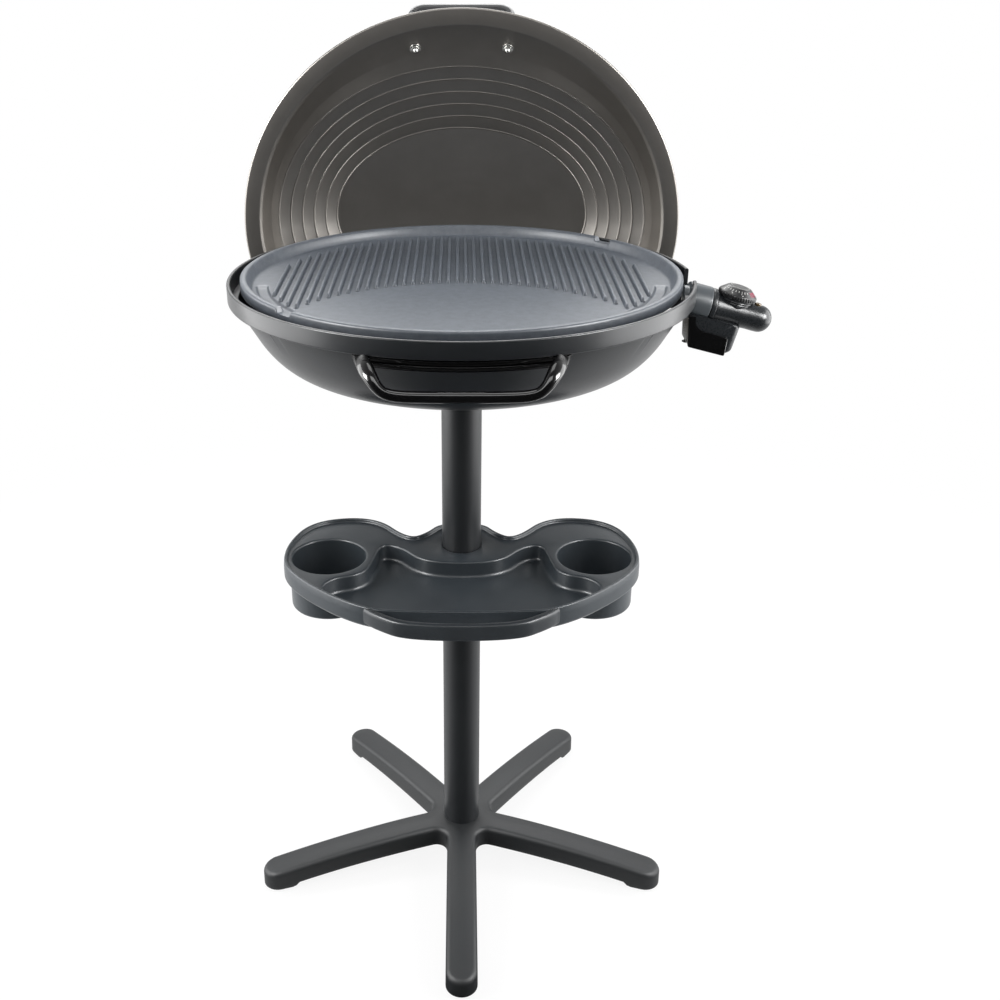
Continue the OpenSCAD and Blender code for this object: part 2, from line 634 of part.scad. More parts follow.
module contact_pins() color(steel) for (s = [-1, 1]) at_plug() translate([0,
    s * pin_y, -40]) cylinder(r = pin_r, h = 36);
module socket_shroud() color(dark) difference() {
  union() {
    at_plug() translate([0, 0, -shroud_l]) cylinder(r = shroud_r, h = shroud_l);
    at_plug() translate([0, 0, -shroud_l - 6]) cylinder(r = shroud_r - 4, h = 8);
  }
  at_plug() translate([0, 0, -shroud_l + 3]) cylinder(r = shroud_r - shroud_wall, h = shroud_l);
  translate([block_x - 2, -clear / 2, under_z - block_h - 5]) cube([block_l + 2.05, clear, block_h + 5]);
  translate([0, -clear, under_z - 0.2]) cube([plate_hw + 1, 2 * clear, clear]);
  for (y = [-pin_y, 0, pin_y]) at_plug() translate([0, y, -probe_l]) cylinder(r = y == 0
      ? probe_r + run_gap : sleeve_r + 0.4, h = probe_l);
}

// Drip tray
module drip_tray() color(steel) difference() {
  translate([-tray_w / 2, tray_front, tray_z]) cube([tray_w, tray_l, tray_h]);
  translate([-tray_w / 2 + tray_wall, tray_front + tray_wall, tray_z + tray_wall])
    cube([tray_w - 2 * tray_wall, tray_l - 2 * tray_wall, tray_h]);
}
// Handle: a curved front that closes the mouth, and a bar hung from its ends
bar_path = [[front_w - 11, -oval * side_hw * 0.94, band_z - 8],
    [front_w - 15, bar_y + 4, band_z - 10], [front_w - 24, bar_y, bar_z + 5],
  [front_w - 34, bar_y, bar_z]];
module bar_link(a, b) hull() {
  translate(a) sphere(bar_r - 1, $fn = 16);
  translate(b) sphere(bar_r - 1, $fn = 16);
}
module tray_handle() color(dark) {
  for (s = [-1, 1]) for (i = [0:2]) bar_link([s * bar_path[i][0], bar_path[i][1], bar_path[i][2]],
    [s * bar_path[i + 1][0], bar_path[i + 1][1], bar_path[i + 1][2]]);
  bar_link(bar_path[3], [-bar_path[3][0], bar_path[3][1], bar_path[3][2]]);
  for (s = [-1, 1]) translate([s * bar_path[0][0] - 4, bar_path[0][1], band_z - 11]) cube([8, 16, 7]);
  intersection() {
    translate([0, 0, open_z + 1]) linear_extrude(tray_open_h - 2) polygon(oval_points(front_out - 4));
    tray_mouth(-0.8);
    union() {
      translate([0, 0, open_z]) oval_band(front_out, front_out - 12, tray_open_h);
      translate([-tray_w / 2 + 10, -bowl_hw, tray_z + 1]) cube([tray_w - 20,
          bowl_hw + tray_front - 0.02, tray_h - 2]);
    }
    translate([-bowl_hw, -bowl_hw, 0]) cube([2 * bowl_hw, bowl_hw + tray_front - 0.02, head_z]);
  }
}
module tray_rivets() color(steel) for (s = [-1, 1]) translate([s * tray_w * 0.3,
    tray_front + tray_wall + 0.01, tray_z + tray_h / 2])
  rotate([-90, 0, 0]) cylinder(r = 3, h = 1.5);

// Lid: stands upright, its opening towards the front, its front edge up
function lid_ring(hw, up,
    depth) = [for (q = egg_points(hw, up, up * lid_rear / lid_front)) [q[0], lid_y + depth, lid_z + q[1]]];
function step_ring(i) = first_step + (last_step - first_step) * i / (lid_steps - 1);
function face_ring(ring, t) = lid_ring(ring[0] + t, ring[1] + t, ring[2] + t);
function lid_face(t) = concat([for (r = [flange_in, band_a, band_b]) face_ring(r, t)],
  [for (i = [0:lid_steps - 1]) each [face_ring(step_ring(i), t),
      face_ring(step_ring(i) + [-1, -1, riser], t)]],
  [for (k = [0.75, 0.35]) face_ring([last_step[0] * k, last_step[1] * k, lid_deep - lid_t - 5 * k * k], t)]);
module each_seat() for (s = [0, 1]) mirror([s, 0, 0]) translate(seat)
  rotate([0, acos(seat_out[2]), atan2(seat_out[1], seat_out[0])]) children();
module lid_shell() color(bronze) difference() {
  skin(concat(flip(lid_face(0)), [lid_ring(lid_hw - 1, lid_front - 1, 0), lid_ring(lid_hw, lid_front, 1),
    lid_ring(lid_hw, lid_front, lid_t)], lid_face(lid_t)));
  each_seat() translate([0, 0, -6]) cylinder(r = screw_r + 0.1, h = 14);
}
module lid_handle() color(dark) {
  difference() {
    for (s = [0, 1]) hull() {
      mirror([s, 0, 0]) translate(seat) rotate([0, acos(seat_out[2]), atan2(seat_out[1], seat_out[0])])
        translate([0, 0, foot_seat]) cylinder(r = 8, h = 8, $fn = 32);
      mirror([s, 0, 0]) translate([lid_handle_l / 2 - grip_r, grip_y, grip_z]) sphere(grip_r - 1, $fn = 24);
    }
    each_seat() cylinder(r = screw_r, h = lid_screw_l);
  }
  hull() for (s = [-1, 1]) translate([s * (lid_handle_l / 2 - grip_r), grip_y, grip_z]) sphere(grip_r,
      $fn = 24);
}
module lid_screws() color(steel) each_seat() {
  translate([0, 0, -4.7]) cylinder(r = head_r, h = 3);
  translate([0, 0, -2]) cylinder(r = screw_r - 0.02, h = lid_screw_l);
}
module lid_washers() color(dark) each_seat() translate([0, 0, -1.7]) difference() {
  cylinder(r = 6, h = 1.5);
  translate([0, 0, -1]) cylinder(r = screw_r + 0.1, h = 4);
}

// Controller: the body is turned about the plug's axis and split level with that axis
body_profile = [[0, 8], [collar_l + 0.05, 8], [collar_l + 0.05, ctrl_r + 1],
    [18, ctrl_r], [ctrl_l - 26, ctrl_r - 1.5], [ctrl_l - 16, ctrl_r - 1],
  [ctrl_l - 6, ctrl_r - 4], [ctrl_l - 1.5, ctrl_r - 9], [ctrl_l, 1]];
module body_solid(cut = 0) rotate_extrude() intersection() {
  offset(delta = -cut) polygon(concat([for (p = body_profile) [p[1], p[0]]],
      [for (p = flip(body_profile)) [-p[1], p[0]]]));
  translate([0, collar_l + 0.05 + cut]) square([clear, ctrl_l]);
}
module contact_holes() at_plug() for (y = [-pin_y, 0, pin_y]) translate([0, y, -1])
  cylinder(r = y == 0 ? probe_r : sleeve_r, h = collar_l + ctrl_wall + 2);
module controller_upper() color(plastic) difference() {
  at_plug() intersection() {
    union() {
      body_solid();
      translate([0, 0, knob_s]) rotate([0, -90, 0]) cylinder(r = 14, h = pedestal_h);
    }
    translate([-clear, -clear / 2, 0]) cube([clear - 0.05, clear, ctrl_l + 1]);
  }
  at_plug() body_solid(ctrl_wall);
  at_knob() cylinder(r = shaft_r + run_gap, h = clear);
  at_plug() translate([0, 0, ctrl_l - 20]) rotate([0, -90, 0]) cylinder(r = 3, h = 30);
  contact_holes();
}
module box_outline(cut = 0) translate([box_top, -box_w / 2 + cut,
    -box_in + cut]) cube([box_drop - box_top - cut, box_w - 2 * cut, box_in + box_out - 2 * cut]);
module controller_lower() color(plastic) difference() {
  at_plug() union() {
    intersection() {
      body_solid();
      translate([0, -clear / 2, 0]) cube([clear, clear, ctrl_l + 1]);
    }
    box_outline();
  }
  at_plug() intersection() {
    body_solid(ctrl_wall);
    translate([-1, -clear / 2, 0]) cube([ctrl_r + 4.5, clear, ctrl_l + 1]);
  }
  at_plug() difference() {
    box_outline(ctrl_wall);
    translate([0, -clear / 2, -box_in]) cube([shroud_r + 3.5, clear, box_in + collar_l + 2]);
  }
  at_plug() translate([0, 0, -box_in - 1]) cylinder(r = shroud_r + 1, h = box_in + collar_l + 1.05);
  at_plug() translate([box_drop - 14, box_w / 2 - 5, box_out - 14]) rotate([-90, 0, 0]) cylinder(r = 5,
      h = 10);
  contact_holes();
  for (z = housing_z) at_plug() translate([box_drop - 5, 0, z]) rotate([0, 90, 0]) cylinder(r = 1.5, h = 6);
}
module box_cover() color(dark) at_plug() difference() {
  translate([box_top, -box_w / 2 - cover_t, -box_in]) cube([box_drop - box_top,
      cover_t - 0.02, box_in - cover_tab]);
  translate([cover_top, -box_w / 2 - cover_t, -box_in]) cube([box_drop - cover_top,
      cover_t - 0.02, box_in + box_out - cover_tab]);
  translate([0, 0, -box_in - 1]) cylinder(r = shroud_r + 1, h = box_in + collar_l + 1.05);
}
module plug_collar() color(plastic) at_plug() difference() {
  translate([0, 0, fit_gap]) cylinder(r = shroud_r - 0.5, h = collar_l - fit_gap);
  translate([0, 0, -1]) cylinder(r = 15, h = collar_l - 1.5);
  for (y = [-pin_y, 0, pin_y]) translate([0, y, -1]) cylinder(r = y == 0 ? probe_r : sleeve_r,
      h = collar_l + 2);
}
module probe_rod() color(steel) at_plug() translate([0, 0, -probe_l]) cylinder(r = probe_r,
    h = probe_l + collar_l + 4);
module contact_sleeves() color("white") for (s = [-1,
    1]) at_plug() translate([0, s * pin_y, -18]) difference() {
  cylinder(r = sleeve_r - 0.05, h = 18 + collar_l + 2);
  translate([0, 0, -1]) cylinder(r = pin_r + run_gap, h = 17);
}
module thermostat_switch() color("beige") at_knob()
  translate([-11, -9, -16]) cube([box_out - ctrl_wall - fit_gap - knob_s + 11, 18, 14]);
module switch_shaft() color(steel) at_knob() translate([0, 0, -1.9]) cylinder(r = shaft_r,
    h = pedestal_h + 1.9 + knob_h - 4);
module knob() color(dark) at_knob() translate([0, 0, pedestal_h + fit_gap]) difference() {
  union() {
    cylinder(r = knob_r, h = knob_h * 0.45);
    translate([0, 0, knob_h * 0.45 - eps]) cylinder(r1 = knob_r - 1.5, r2 = knob_r * 0.62, h = knob_h * 0.5);
  }
  for (i = [0:23]) rotate(15 * i) translate([knob_r + 0.6, 0, -1]) cylinder(r = 1.4,
      h = knob_h * 0.45 + 1, $fn = 16);
  translate([0, 0, -1]) cylinder(r = shaft_r, h = knob_h - 4 - fit_gap + 1);
}
module knob_dial() color("white") at_knob() translate([0, 0,
    pedestal_h + fit_gap + knob_h * 0.95 - eps]) difference() {
  cylinder(r = knob_r * 0.5, h = 0.6);
  translate([0, 0, -1]) cylinder(r = knob_r * 0.4, h = 3);
}
module indicator_lamp() color("orange") at_plug() translate([0, 0, ctrl_l - 20]) rotate([0, -90, 0]) {
  translate([0, 0, ctrl_r - 6]) cylinder(r = 2.95, h = 5.5);
  translate([0, 0, ctrl_r - 0.6]) cylinder(r = 3.8, h = 1.2);
}
module cord_gland() color(dark) at_plug() translate([box_drop - 14,
    box_w / 2 - 4, box_out - 14]) rotate([-90, 0, 0]) difference() {
  union() {
    cylinder(r = 4.95, h = 4.1);
    translate([0, 0, 4.02]) cylinder(r = 7, h = 2);
    translate([0, 0, 6]) cylinder(r1 = 6, r2 = 4.5, h = 8, $fn = 32);
  }
  translate([0, 0, -1]) cylinder(r = 3.2, h = 20);
}
housing_z = [-box_in + 12, box_out - 10];
module housing_screws() color(steel) for (z = housing_z) at_plug() translate([box_drop - 5,
    0, z]) rotate([0, 90, 0]) {
  cylinder(r = 1.5, h = 5.03);
  translate([0, 0, 5.02]) cylinder(r = 3, h = 1.2);
}

base_star();
foot_pads();
lower_tube();
upper_tube();
tube_coupler();
tube_plug();
base_bolt();
base_washer();
shelf();
shelf_rail();
shelf_screws();
rail_screws();
bowl_shell();
column_socket();
socket_screws();
heat_reflector();
plate_supports();
tray_runners();
lid_rest();
lid_rest_screws();
grill_plate();
heating_element();
element_clips();
terminal_block();
contact_pins();
socket_shroud();
drip_tray();
tray_handle();
tray_rivets();
lid_shell();
lid_handle();
lid_screws();
lid_washers();
controller_upper();
controller_lower();
box_cover();
plug_collar();
probe_rod();
contact_sleeves();
thermostat_switch();
switch_shaft();
knob();
knob_dial();
indicator_lamp();
cord_gland();
housing_screws();
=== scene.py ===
"""Free-standing electric grill, dressed for the render. Lengths are in millimetres until a mesh is made."""

import math

import bmesh
import bpy
import numpy as np
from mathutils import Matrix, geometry


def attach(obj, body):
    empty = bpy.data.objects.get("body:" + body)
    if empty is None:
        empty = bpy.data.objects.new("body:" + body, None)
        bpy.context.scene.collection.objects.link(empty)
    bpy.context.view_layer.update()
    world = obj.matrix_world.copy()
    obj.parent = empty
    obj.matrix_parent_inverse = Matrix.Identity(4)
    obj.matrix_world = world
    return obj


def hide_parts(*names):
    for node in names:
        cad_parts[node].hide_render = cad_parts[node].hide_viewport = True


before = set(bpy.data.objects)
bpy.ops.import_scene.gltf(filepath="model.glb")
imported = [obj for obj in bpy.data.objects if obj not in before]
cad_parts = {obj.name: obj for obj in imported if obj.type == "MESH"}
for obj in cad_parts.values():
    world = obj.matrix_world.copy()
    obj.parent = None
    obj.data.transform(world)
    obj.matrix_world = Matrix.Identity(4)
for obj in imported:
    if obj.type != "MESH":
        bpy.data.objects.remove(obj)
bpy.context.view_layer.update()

MM = 0.001
TAU = 2 * math.pi
OVAL = 0.938


# Meshes

def cells(rows, cols, wrap=True):
    """Quads of a grid of points: cell (i, j) joins point j of row i with its neighbours in row i + 1."""
    i, j = np.meshgrid(np.arange(rows - 1), np.arange(cols if wrap else cols - 1), indexing="ij")
    k = (j + 1) % cols
    return np.stack([i * cols + j, i * cols + k, (i + 1) * cols + k, (i + 1) * cols + j], -1).reshape(-1, 4)


def shell(rows, wrap=True):
    """A surface over rows of points, an array of rows x points x 3."""
    rows = np.asarray(rows, float)
    return rows.reshape(-1, 3), cells(rows.shape[0], rows.shape[1], wrap)


def ring_closed(rows):
    """A surface closed both ways: the last row joins the first."""
    rows = np.asarray(rows, float)
    return shell(np.concatenate([rows, rows[:1]]))


def inside(points, loop):
    """True for points in a loop: a ray to the right crosses the loop's sides an odd number of times."""
    x, y = points[:, :1], points[:, 1:2]
    a, b = loop, np.roll(loop, -1, 0)
    across = (a[:, 1] > y) != (b[:, 1] > y)
    with np.errstate(divide="ignore", invalid="ignore"):
        at = a[:, 0] + (y - a[:, 1]) * (b[:, 0] - a[:, 0]) / (b[:, 1] - a[:, 1])
    return (across & (x < at)).sum(1) % 2 == 1


def filled(loop, holes=(), height=0.0):
    """Triangles of the flat region between a loop and its holes. height is a number or a function of x, y."""
    loops = [np.asarray(q, float)[:, :2] for q in (loop, *holes)]
    start = np.cumsum([0] + [len(q) for q in loops])
    edges = [(int(s + i), int(s + (i + 1) % len(q))) for s, q in zip(start, loops) for i in range(len(q))]
    found = geometry.delaunay_2d_cdt([tuple(p) for p in np.concatenate(loops)], edges, [], 0, 1e-5)
    flat = np.array([tuple(v) for v in found[0]], float)
    faces = np.array(found[2], int)
    middle = flat[faces].mean(1)
    keep = inside(middle, loops[0])
    for q in loops[1:]:
        keep &= ~inside(middle, q)
    z = height(flat[:, 0], flat[:, 1]) if callable(height) else np.full(len(flat), float(height))
    return np.column_stack([flat, z]), faces[keep]


def piece(name, shells, body, finish, stands_for=(), sharp=38.0):
    """Joins shells into one mesh on a body.

    Doubles are merged, faces turned outwards and edges over sharp degrees kept.
    """
    corners, faces, start = [], [], 0
    for points, quads in shells:
        corners.append(points)
        faces.extend((quads + start).tolist())
        start += len(points)
    mesh = bpy.data.meshes.new(name)
    mesh.from_pydata((np.concatenate(corners) * MM).tolist(), [], faces)
    work = bmesh.new()
    work.from_mesh(mesh)
    bmesh.ops.remove_doubles(work, verts=work.verts, dist=2e-6)
    bmesh.ops.dissolve_degenerate(work, edges=work.edges, dist=1e-7)
    bmesh.ops.recalc_face_normals(work, faces=work.faces)
    work.to_mesh(mesh)
    work.free()
    obj = bpy.data.objects.new(name, mesh)
    bpy.context.scene.collection.objects.link(obj)
    mesh.materials.append(finish)
    smooth(obj, sharp)
    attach(obj, body)
    if stands_for:
        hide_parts(*stands_for)
    return obj


def smooth(obj, sharp):
    """Smooth shading with edges over sharp degrees kept."""
    obj.data.polygons.foreach_set("use_smooth", np.ones(len(obj.data.polygons), bool))
    obj.data.set_sharp_from_angle(angle=math.radians(sharp))


def carve(obj, cutters, sharp=38.0):
    """Cuts closed shells out of a piece."""
    for number, cutter in enumerate(cutters):
        tool_mesh = bpy.data.meshes.new("cutter")
        tool_mesh.from_pydata((cutter[0] * MM).tolist(), [], cutter[1].tolist())
        work = bmesh.new()
        work.from_mesh(tool_mesh)
        bmesh.ops.remove_doubles(work, verts=work.verts, dist=2e-6)
        bmesh.ops.holes_fill(work, edges=work.edges)
        bmesh.ops.recalc_face_normals(work, faces=work.faces)
        work.to_mesh(tool_mesh)
        work.free()
        tool = bpy.data.objects.new("cutter", tool_mesh)
        bpy.context.scene.collection.objects.link(tool)
        cut = obj.modifiers.new(f"cut{number}", "BOOLEAN")
        cut.operation, cut.solver, cut.object = "DIFFERENCE", "EXACT", tool
        bpy.context.view_layer.update()
        result = bpy.data.meshes.new_from_object(obj.evaluated_get(bpy.context.evaluated_depsgraph_get()))
        obj.modifiers.remove(cut)
        obj.data = result
        bpy.data.objects.remove(tool)
    smooth(obj, sharp)
    return obj


# Curves and profiles

def softened(points, cut, k=5):
    """A polyline with quadratic arcs for corners, each from a length cut before it to as much after it."""
    points = [np.asarray(p, float) for p in points]
    t = np.linspace(0, 1, k)[:, None]
    out = [points[0][None]]
    for a, b, c in zip(points, points[1:], points[2:]):
        p = b + (a - b) * min(0.48, cut / max(np.linalg.norm(a - b), 1e-9))
        q = b + (c - b) * min(0.48, cut / max(np.linalg.norm(c - b), 1e-9))
        out.append((1 - t) ** 2 * p + 2 * t * (1 - t) * b + t**2 * q)
    return np.concatenate(out + [points[-1][None]])


def loop_curve(control, count):
    """A closed curve that touches the middle of each side of a control polygon, in equal steps."""
    c = np.asarray(control, float)
    a, d = (np.roll(c, 1, 0) + c) / 2, (np.roll(c, -1, 0) + c) / 2
    t = np.linspace(0, 1, 40, endpoint=False)[None, :, None]
    dense = ((1 - t) ** 2 * a[:, None] + 2 * t * (1 - t) * c[:, None] + t**2 * d[:, None]).reshape(-1, 2)
    return even(np.concatenate([dense, dense[:1]]), count + 1)[:-1]


def open_curve(control, count=None, k=14):
    """The same curve with open ends."""
    c = np.asarray(control, float)
    t = np.linspace(0, 1, k)[:, None]
    arcs = [(1 - t) ** 2 * (a + b) / 2 + 2 * t * (1 - t) * b + t**2 * (b + d) / 2 for a,
        b, d in zip(c, c[1:], c[2:])]
    line = np.concatenate([c[:1], *arcs, c[-1:]])
    line = line[np.concatenate([[True], np.linalg.norm(np.diff(line, axis=0), axis=1) > 1e-6])]
    return line if count is None else even(line, count)


def even(line, count):
    """A line with its points at equal steps along its length."""
    run = np.concatenate([[0], np.cumsum(np.linalg.norm(np.diff(line, axis=0), axis=1))])
    at = np.linspace(0, run[-1], count)
    return np.column_stack([np.interp(at, run, line[:, k]) for k in range(line.shape[1])])


def mirrored(half):
    """A half outline on the right side and its mirror on the left."""
    half = np.asarray(half, float)
    return np.concatenate([half, half[::-1] * [-1, 1]])


def grown(loop, out):
    """A closed loop moved out along its own normal; the loop runs anticlockwise."""
    step = np.roll(loop, -1, 0) - np.roll(loop, 1, 0)
    normal = np.column_stack([step[:, 1], -step[:, 0]]) / np.linalg.norm(step, axis=1)[:, None]
    return loop + normal * out


def edged(loop, profile):
    """A profile of (distance out, height) carried round a closed loop."""
    return np.stack([np.column_stack([grown(loop, d), np.full(len(loop), z)]) for d, z in profile])


def circle(r, count=72, centre=(0.0, 0.0)):
    """A circle of points, anticlockwise."""
    a = np.arange(count) * TAU / count
    return np.column_stack([centre[0] + r * np.cos(a), centre[1] + r * np.sin(a)])


def ovals(profile, count):
    """A profile of (half width, height) carried round an oval: x = w cos a, y = OVAL w sin a."""
    a = np.arange(count) * TAU / count
    p = np.asarray(profile, float)
    return np.stack([p[:, :1] * np.cos(a), OVAL * p[:, :1] * np.sin(a), np.repeat(p[:, 1:2], count, 1)], -1)


def turned(profile, count=72, flute=None):
    """A profile of (radius, height) turned round Z. flute, of angle and height, is added to the radius."""
    a = np.arange(count) * TAU / count
    p = np.asarray(profile, float)
    r = np.repeat(p[:, :1], count, 1)
    z = np.repeat(p[:, 1:2], count, 1)
    if flute is not None:
        r = r + flute(a[None], z)
    return np.stack([r * np.cos(a), r * np.sin(a), z], -1)


def swept(path, section, up=(0, 0, 1)):
    """A closed section of (across, up) carried along a path of points, square to it at each point."""
    path = np.asarray(path, float)
    along = np.gradient(path, axis=0)
    along /= np.linalg.norm(along, axis=1)[:, None]
    across = np.cross(along, up)
    across /= np.linalg.norm(across, axis=1)[:, None]
    over = np.cross(across, along)
    section = np.asarray(section, float)
    if section.ndim == 2:
        section = np.repeat(section[None], len(path), 0)
    return path[:, None] + section[..., :1] * across[:, None] + section[..., 1:2] * over[:, None]


def ended(rows):
    """Rows of a closed section with both ends drawn in to their middle."""
    rows = np.asarray(rows, float)
    ends = [np.repeat(r.mean(0)[None], rows.shape[1], 0)[None] for r in (rows[0], rows[-1])]
    return shell(np.concatenate([ends[0], rows, ends[1]]))


def pill(width, height, radius, k=5):
    """A rectangle with round corners, anticlockwise."""
    t = np.linspace(0, TAU / 4, k)
    out = []
    for i, (sx, sy) in enumerate([(1, -1), (1, 1), (-1, 1), (-1, -1)]):
        a = t + (i - 1) * TAU / 4
        out.append(np.column_stack([sx * (width / 2 - radius) + radius * np.cos(a),
            sy * (height / 2 - radius) + radius * np.sin(a)]))
    return np.concatenate(out)


def placed(shape, origin, axes):
    """A shell moved from its own frame to the object's: point = origin + x X + y Y + z Z."""
    points, faces = shape
    return np.asarray(origin, float) + points @ np.asarray(axes, float), faces


def block(width, depth, low, high, radius, edge=1.0):
    """An upright block with round corners in plan and a small round on its top and bottom edges."""
    plan = pill(width, depth, radius)
    lines = [(-edge, low), (-edge * 0.3, low + edge * 0.3), (0, low + edge),
        (0, high - edge), (-edge * 0.3, high - edge * 0.3), (-edge, high)]
    return ended(edged(plan, lines))


# Finishes

def hexed(code):
    """An sRGB hex colour as linear red, green, blue and alpha."""
    c = [int(code[i : i + 2], 16) / 255 for i in (1, 3, 5)]
    return tuple(v / 12.92 if v <= 0.04045 else ((v + 0.055) / 1.055) ** 2.4 for v in c) + (1.0,)


def add(tree, kind, inputs=None, **settings):
    """Adds a node. settings are its properties; an input is a value or (node, output), by socket."""
    made = tree.nodes.new(kind)
    for key, value in settings.items():
        setattr(made, key, value)
    for key, value in (inputs or {}).items():
        if isinstance(value, tuple) and isinstance(value[0], bpy.types.Node):
            tree.links.new(value[0].outputs[value[1]], made.inputs[key])
        else:
            made.inputs[key].default_value = value
    return made


def surface(name, light, dark, rough, grain, bump, metallic=0.0,
    coat=0.0, mottle=60.0, stretch=(1, 1, 1), spread=0.06):
    """A finish between two near colours. grain is the size in mm of its bumps, mottle of its cloudy tone."""
    made = bpy.data.materials.new(name)
    made.use_nodes = True
    tree = made.node_tree
    tree.nodes.clear()
    place = add(tree, "ShaderNodeTexCoord")
    at = add(tree, "ShaderNodeMapping", {"Vector": (place, "Object"), "Scale": stretch})
    cloud = add(tree, "ShaderNodeTexNoise",
        {"Vector": (at, 0), "Scale": 1000 / mottle, "Detail": 4.0, "Roughness": 0.6})
    tone = add(tree, "ShaderNodeValToRGB", {"Fac": (cloud, "Fac")})
    tone.color_ramp.elements[0].position, tone.color_ramp.elements[1].position = 0.35, 0.68
    tone.color_ramp.elements[0].color, tone.color_ramp.elements[1].color = hexed(dark), hexed(light)
    fine = add(tree, "ShaderNodeTexNoise",
        {"Vector": (at, 0), "Scale": 1000 / grain, "Detail": 3.0, "Roughness": 0.55})
    gloss = add(tree, "ShaderNodeMapRange",
        {"Value": (fine, "Fac"), "To Min": max(rough - spread, 0.02), "To Max": rough + spread})
    relief = add(tree, "ShaderNodeBump", {"Height": (fine, "Fac"), "Strength": bump, "Distance": 0.0004})
    shader = add(tree, "ShaderNodeBsdfPrincipled", {
        "Base Color": (tone, "Color"), "Roughness": (gloss,
            "Result"), "Metallic": metallic, "Normal": (relief, "Normal"),
        "Coat Weight": coat, "Coat Roughness": 0.08})
    add(tree, "ShaderNodeOutputMaterial", {"Surface": (shader, 0)})
    return made


# Powder coated steel tube: an even charcoal satin, smooth from the oven
powder_coat = surface("powder_coat", "#1b1e21", "#181b1e", 0.42, 2.2, 0.06)
# Injection moulded polypropylene with a spark-eroded grain: dull charcoal that scatters light evenly
grained_pp = surface("grained_pp", "#363c41", "#30363b", 0.36, 1.6, 0.12)
# The same plastic on the foot, coarser grained and duller, with its colour painted darker than the shelf's as
# painted shade under the bowl and the shelf
foot_pp_painted_shade = surface("foot_pp_painted_shade", "#181b1e", "#15181a", 0.52, 2.2, 0.06)
# The shelf's moulding on the rail, polished by hands
rail_pp = surface("rail_pp", "#2f3438", "#2a2e32", 0.34, 1.8, 0.08)
# Anthracite enamel on a die cast bowl: satin with a cool sheen
bowl_enamel = surface("bowl_enamel", "#1d2024", "#1a1d20", 0.32, 2.0, 0.05)
# Non-stick coat on cast aluminium: slate with fine mineral specks
nonstick = surface("nonstick", "#565c64", "#4b5159", 0.40, 1.4, 0.10, mottle=8.0)
# Bronze-grey metallic lacquer on pressed aluminium: fine flakes, satin
lid_lacquer = surface("lid_lacquer", "#7f7c78", "#7b7874", 0.36,
    0.9, 0.0, metallic=1.0, mottle=30.0, spread=0.01)
# Glass filled nylon, heat proof: near black, dull
nylon_black = surface("nylon_black", "#141517", "#101113", 0.34, 1.5, 0.10)
# Polished phenolic: black with a sharp gloss
phenolic = surface("phenolic", "#0b0b0c", "#080809", 0.12, 3.0, 0.03, coat=0.3, mottle=40.0)
# Moulded ABS of the controller: charcoal satin
case_abs = surface("case_abs", "#212427", "#1d2023", 0.28, 1.5, 0.06)
# The socket's shroud: a paler grey nylon
shroud_nylon = surface("shroud_nylon", "#4c5155", "#444a4e", 0.34, 1.5, 0.08)
# Nitrile rubber pads
pad_rubber = surface("pad_rubber", "#1a1a1a", "#131313", 0.75, 1.5, 0.3)
# Bright zinc plate on small steel parts
zinc = surface("zinc", "#c9c9c6", "#b4b4b1", 0.24, 1.2, 0.05, metallic=1.0, mottle=10.0)
# Drawn aluminium sheet of the tray and the reflector, brushed along its length
sheet_aluminium = surface("sheet_aluminium", "#c3c4c5", "#b2b3b5", 0.30,
    0.9, 0.12, metallic=1.0, mottle=6.0, stretch=(1, 0.08, 1))
# Heated steel tube of the element, oxidised brown-black
oxide_steel = surface("oxide_steel", "#4c4641", "#37322e", 0.55, 1.5, 0.15, metallic=0.6, mottle=15.0)
# Glazed steatite
steatite = surface("steatite", "#e4dfd2", "#d8d2c4", 0.3, 2.0, 0.04)
# Pad printed ink on the dial
ink_white = surface("ink_white", "#c9c9c6", "#bdbdba", 0.5, 1.0, 0.02)
ink_red = surface("ink_red", "#8a2440", "#742038", 0.5, 1.0, 0.02)
# Smoked amber polycarbonate over a lamp
lamp_amber = surface("lamp_amber", "#6e5526", "#4d3b1c", 0.15, 1.5, 0.04, coat=0.5)


# Column and foot

TUBE_R, TUBE_WALL, TUBE_LOW, TUBE_JOINT, TUBE_HIGH = 22.5, 1.5, 16, 424, 662

def tube(low, high, r, wall):
    """A straight tube with its ends rounded by half a millimetre."""
    e = 0.5
    return ring_closed(turned([(r - e, low), (r, low + e), (r, high - e),
        (r - e, high), (r - wall, high), (r - wall, low)], 96))


piece("lower_column", [tube(TUBE_LOW, TUBE_JOINT, TUBE_R, TUBE_WALL)],
    "stand", powder_coat, ["lower_tube"])
piece("upper_column", [tube(TUBE_JOINT, TUBE_HIGH, TUBE_R, TUBE_WALL)],
    "stand", powder_coat, ["upper_tube"])

LEG_REACH, LEG_W, LEG_TIP, HUB_H, HUB_R, LEG_FILLET, PAD_OUT, LEG_ARCH = 262, 37, 25, 46, 46, 14, 2, 13


def leg_top(r):
    """Height of a leg's top, r from the column: level on the hub, then falling as the 1.7th power."""
    fall = np.clip((r - HUB_R) / (LEG_REACH - HUB_R), 0, 1) ** 1.7
    return LEG_TIP + (HUB_H - LEG_TIP) * (1 - fall)


def leg_low(r):
    """Height of a leg's lower edge: an arch from hub to heel, where it steps down to the pad."""
    heel = LEG_REACH - LEG_W
    arch = PAD_OUT + 5 + LEG_ARCH * (1 - np.clip(r / heel, 0, 1) ** 2.4)
    step = np.clip((r - heel) / 4 + 0.5, 0, 1)
    step = step * step * (3 - 2 * step)
    return arch * (1 - step) + PAD_OUT * step


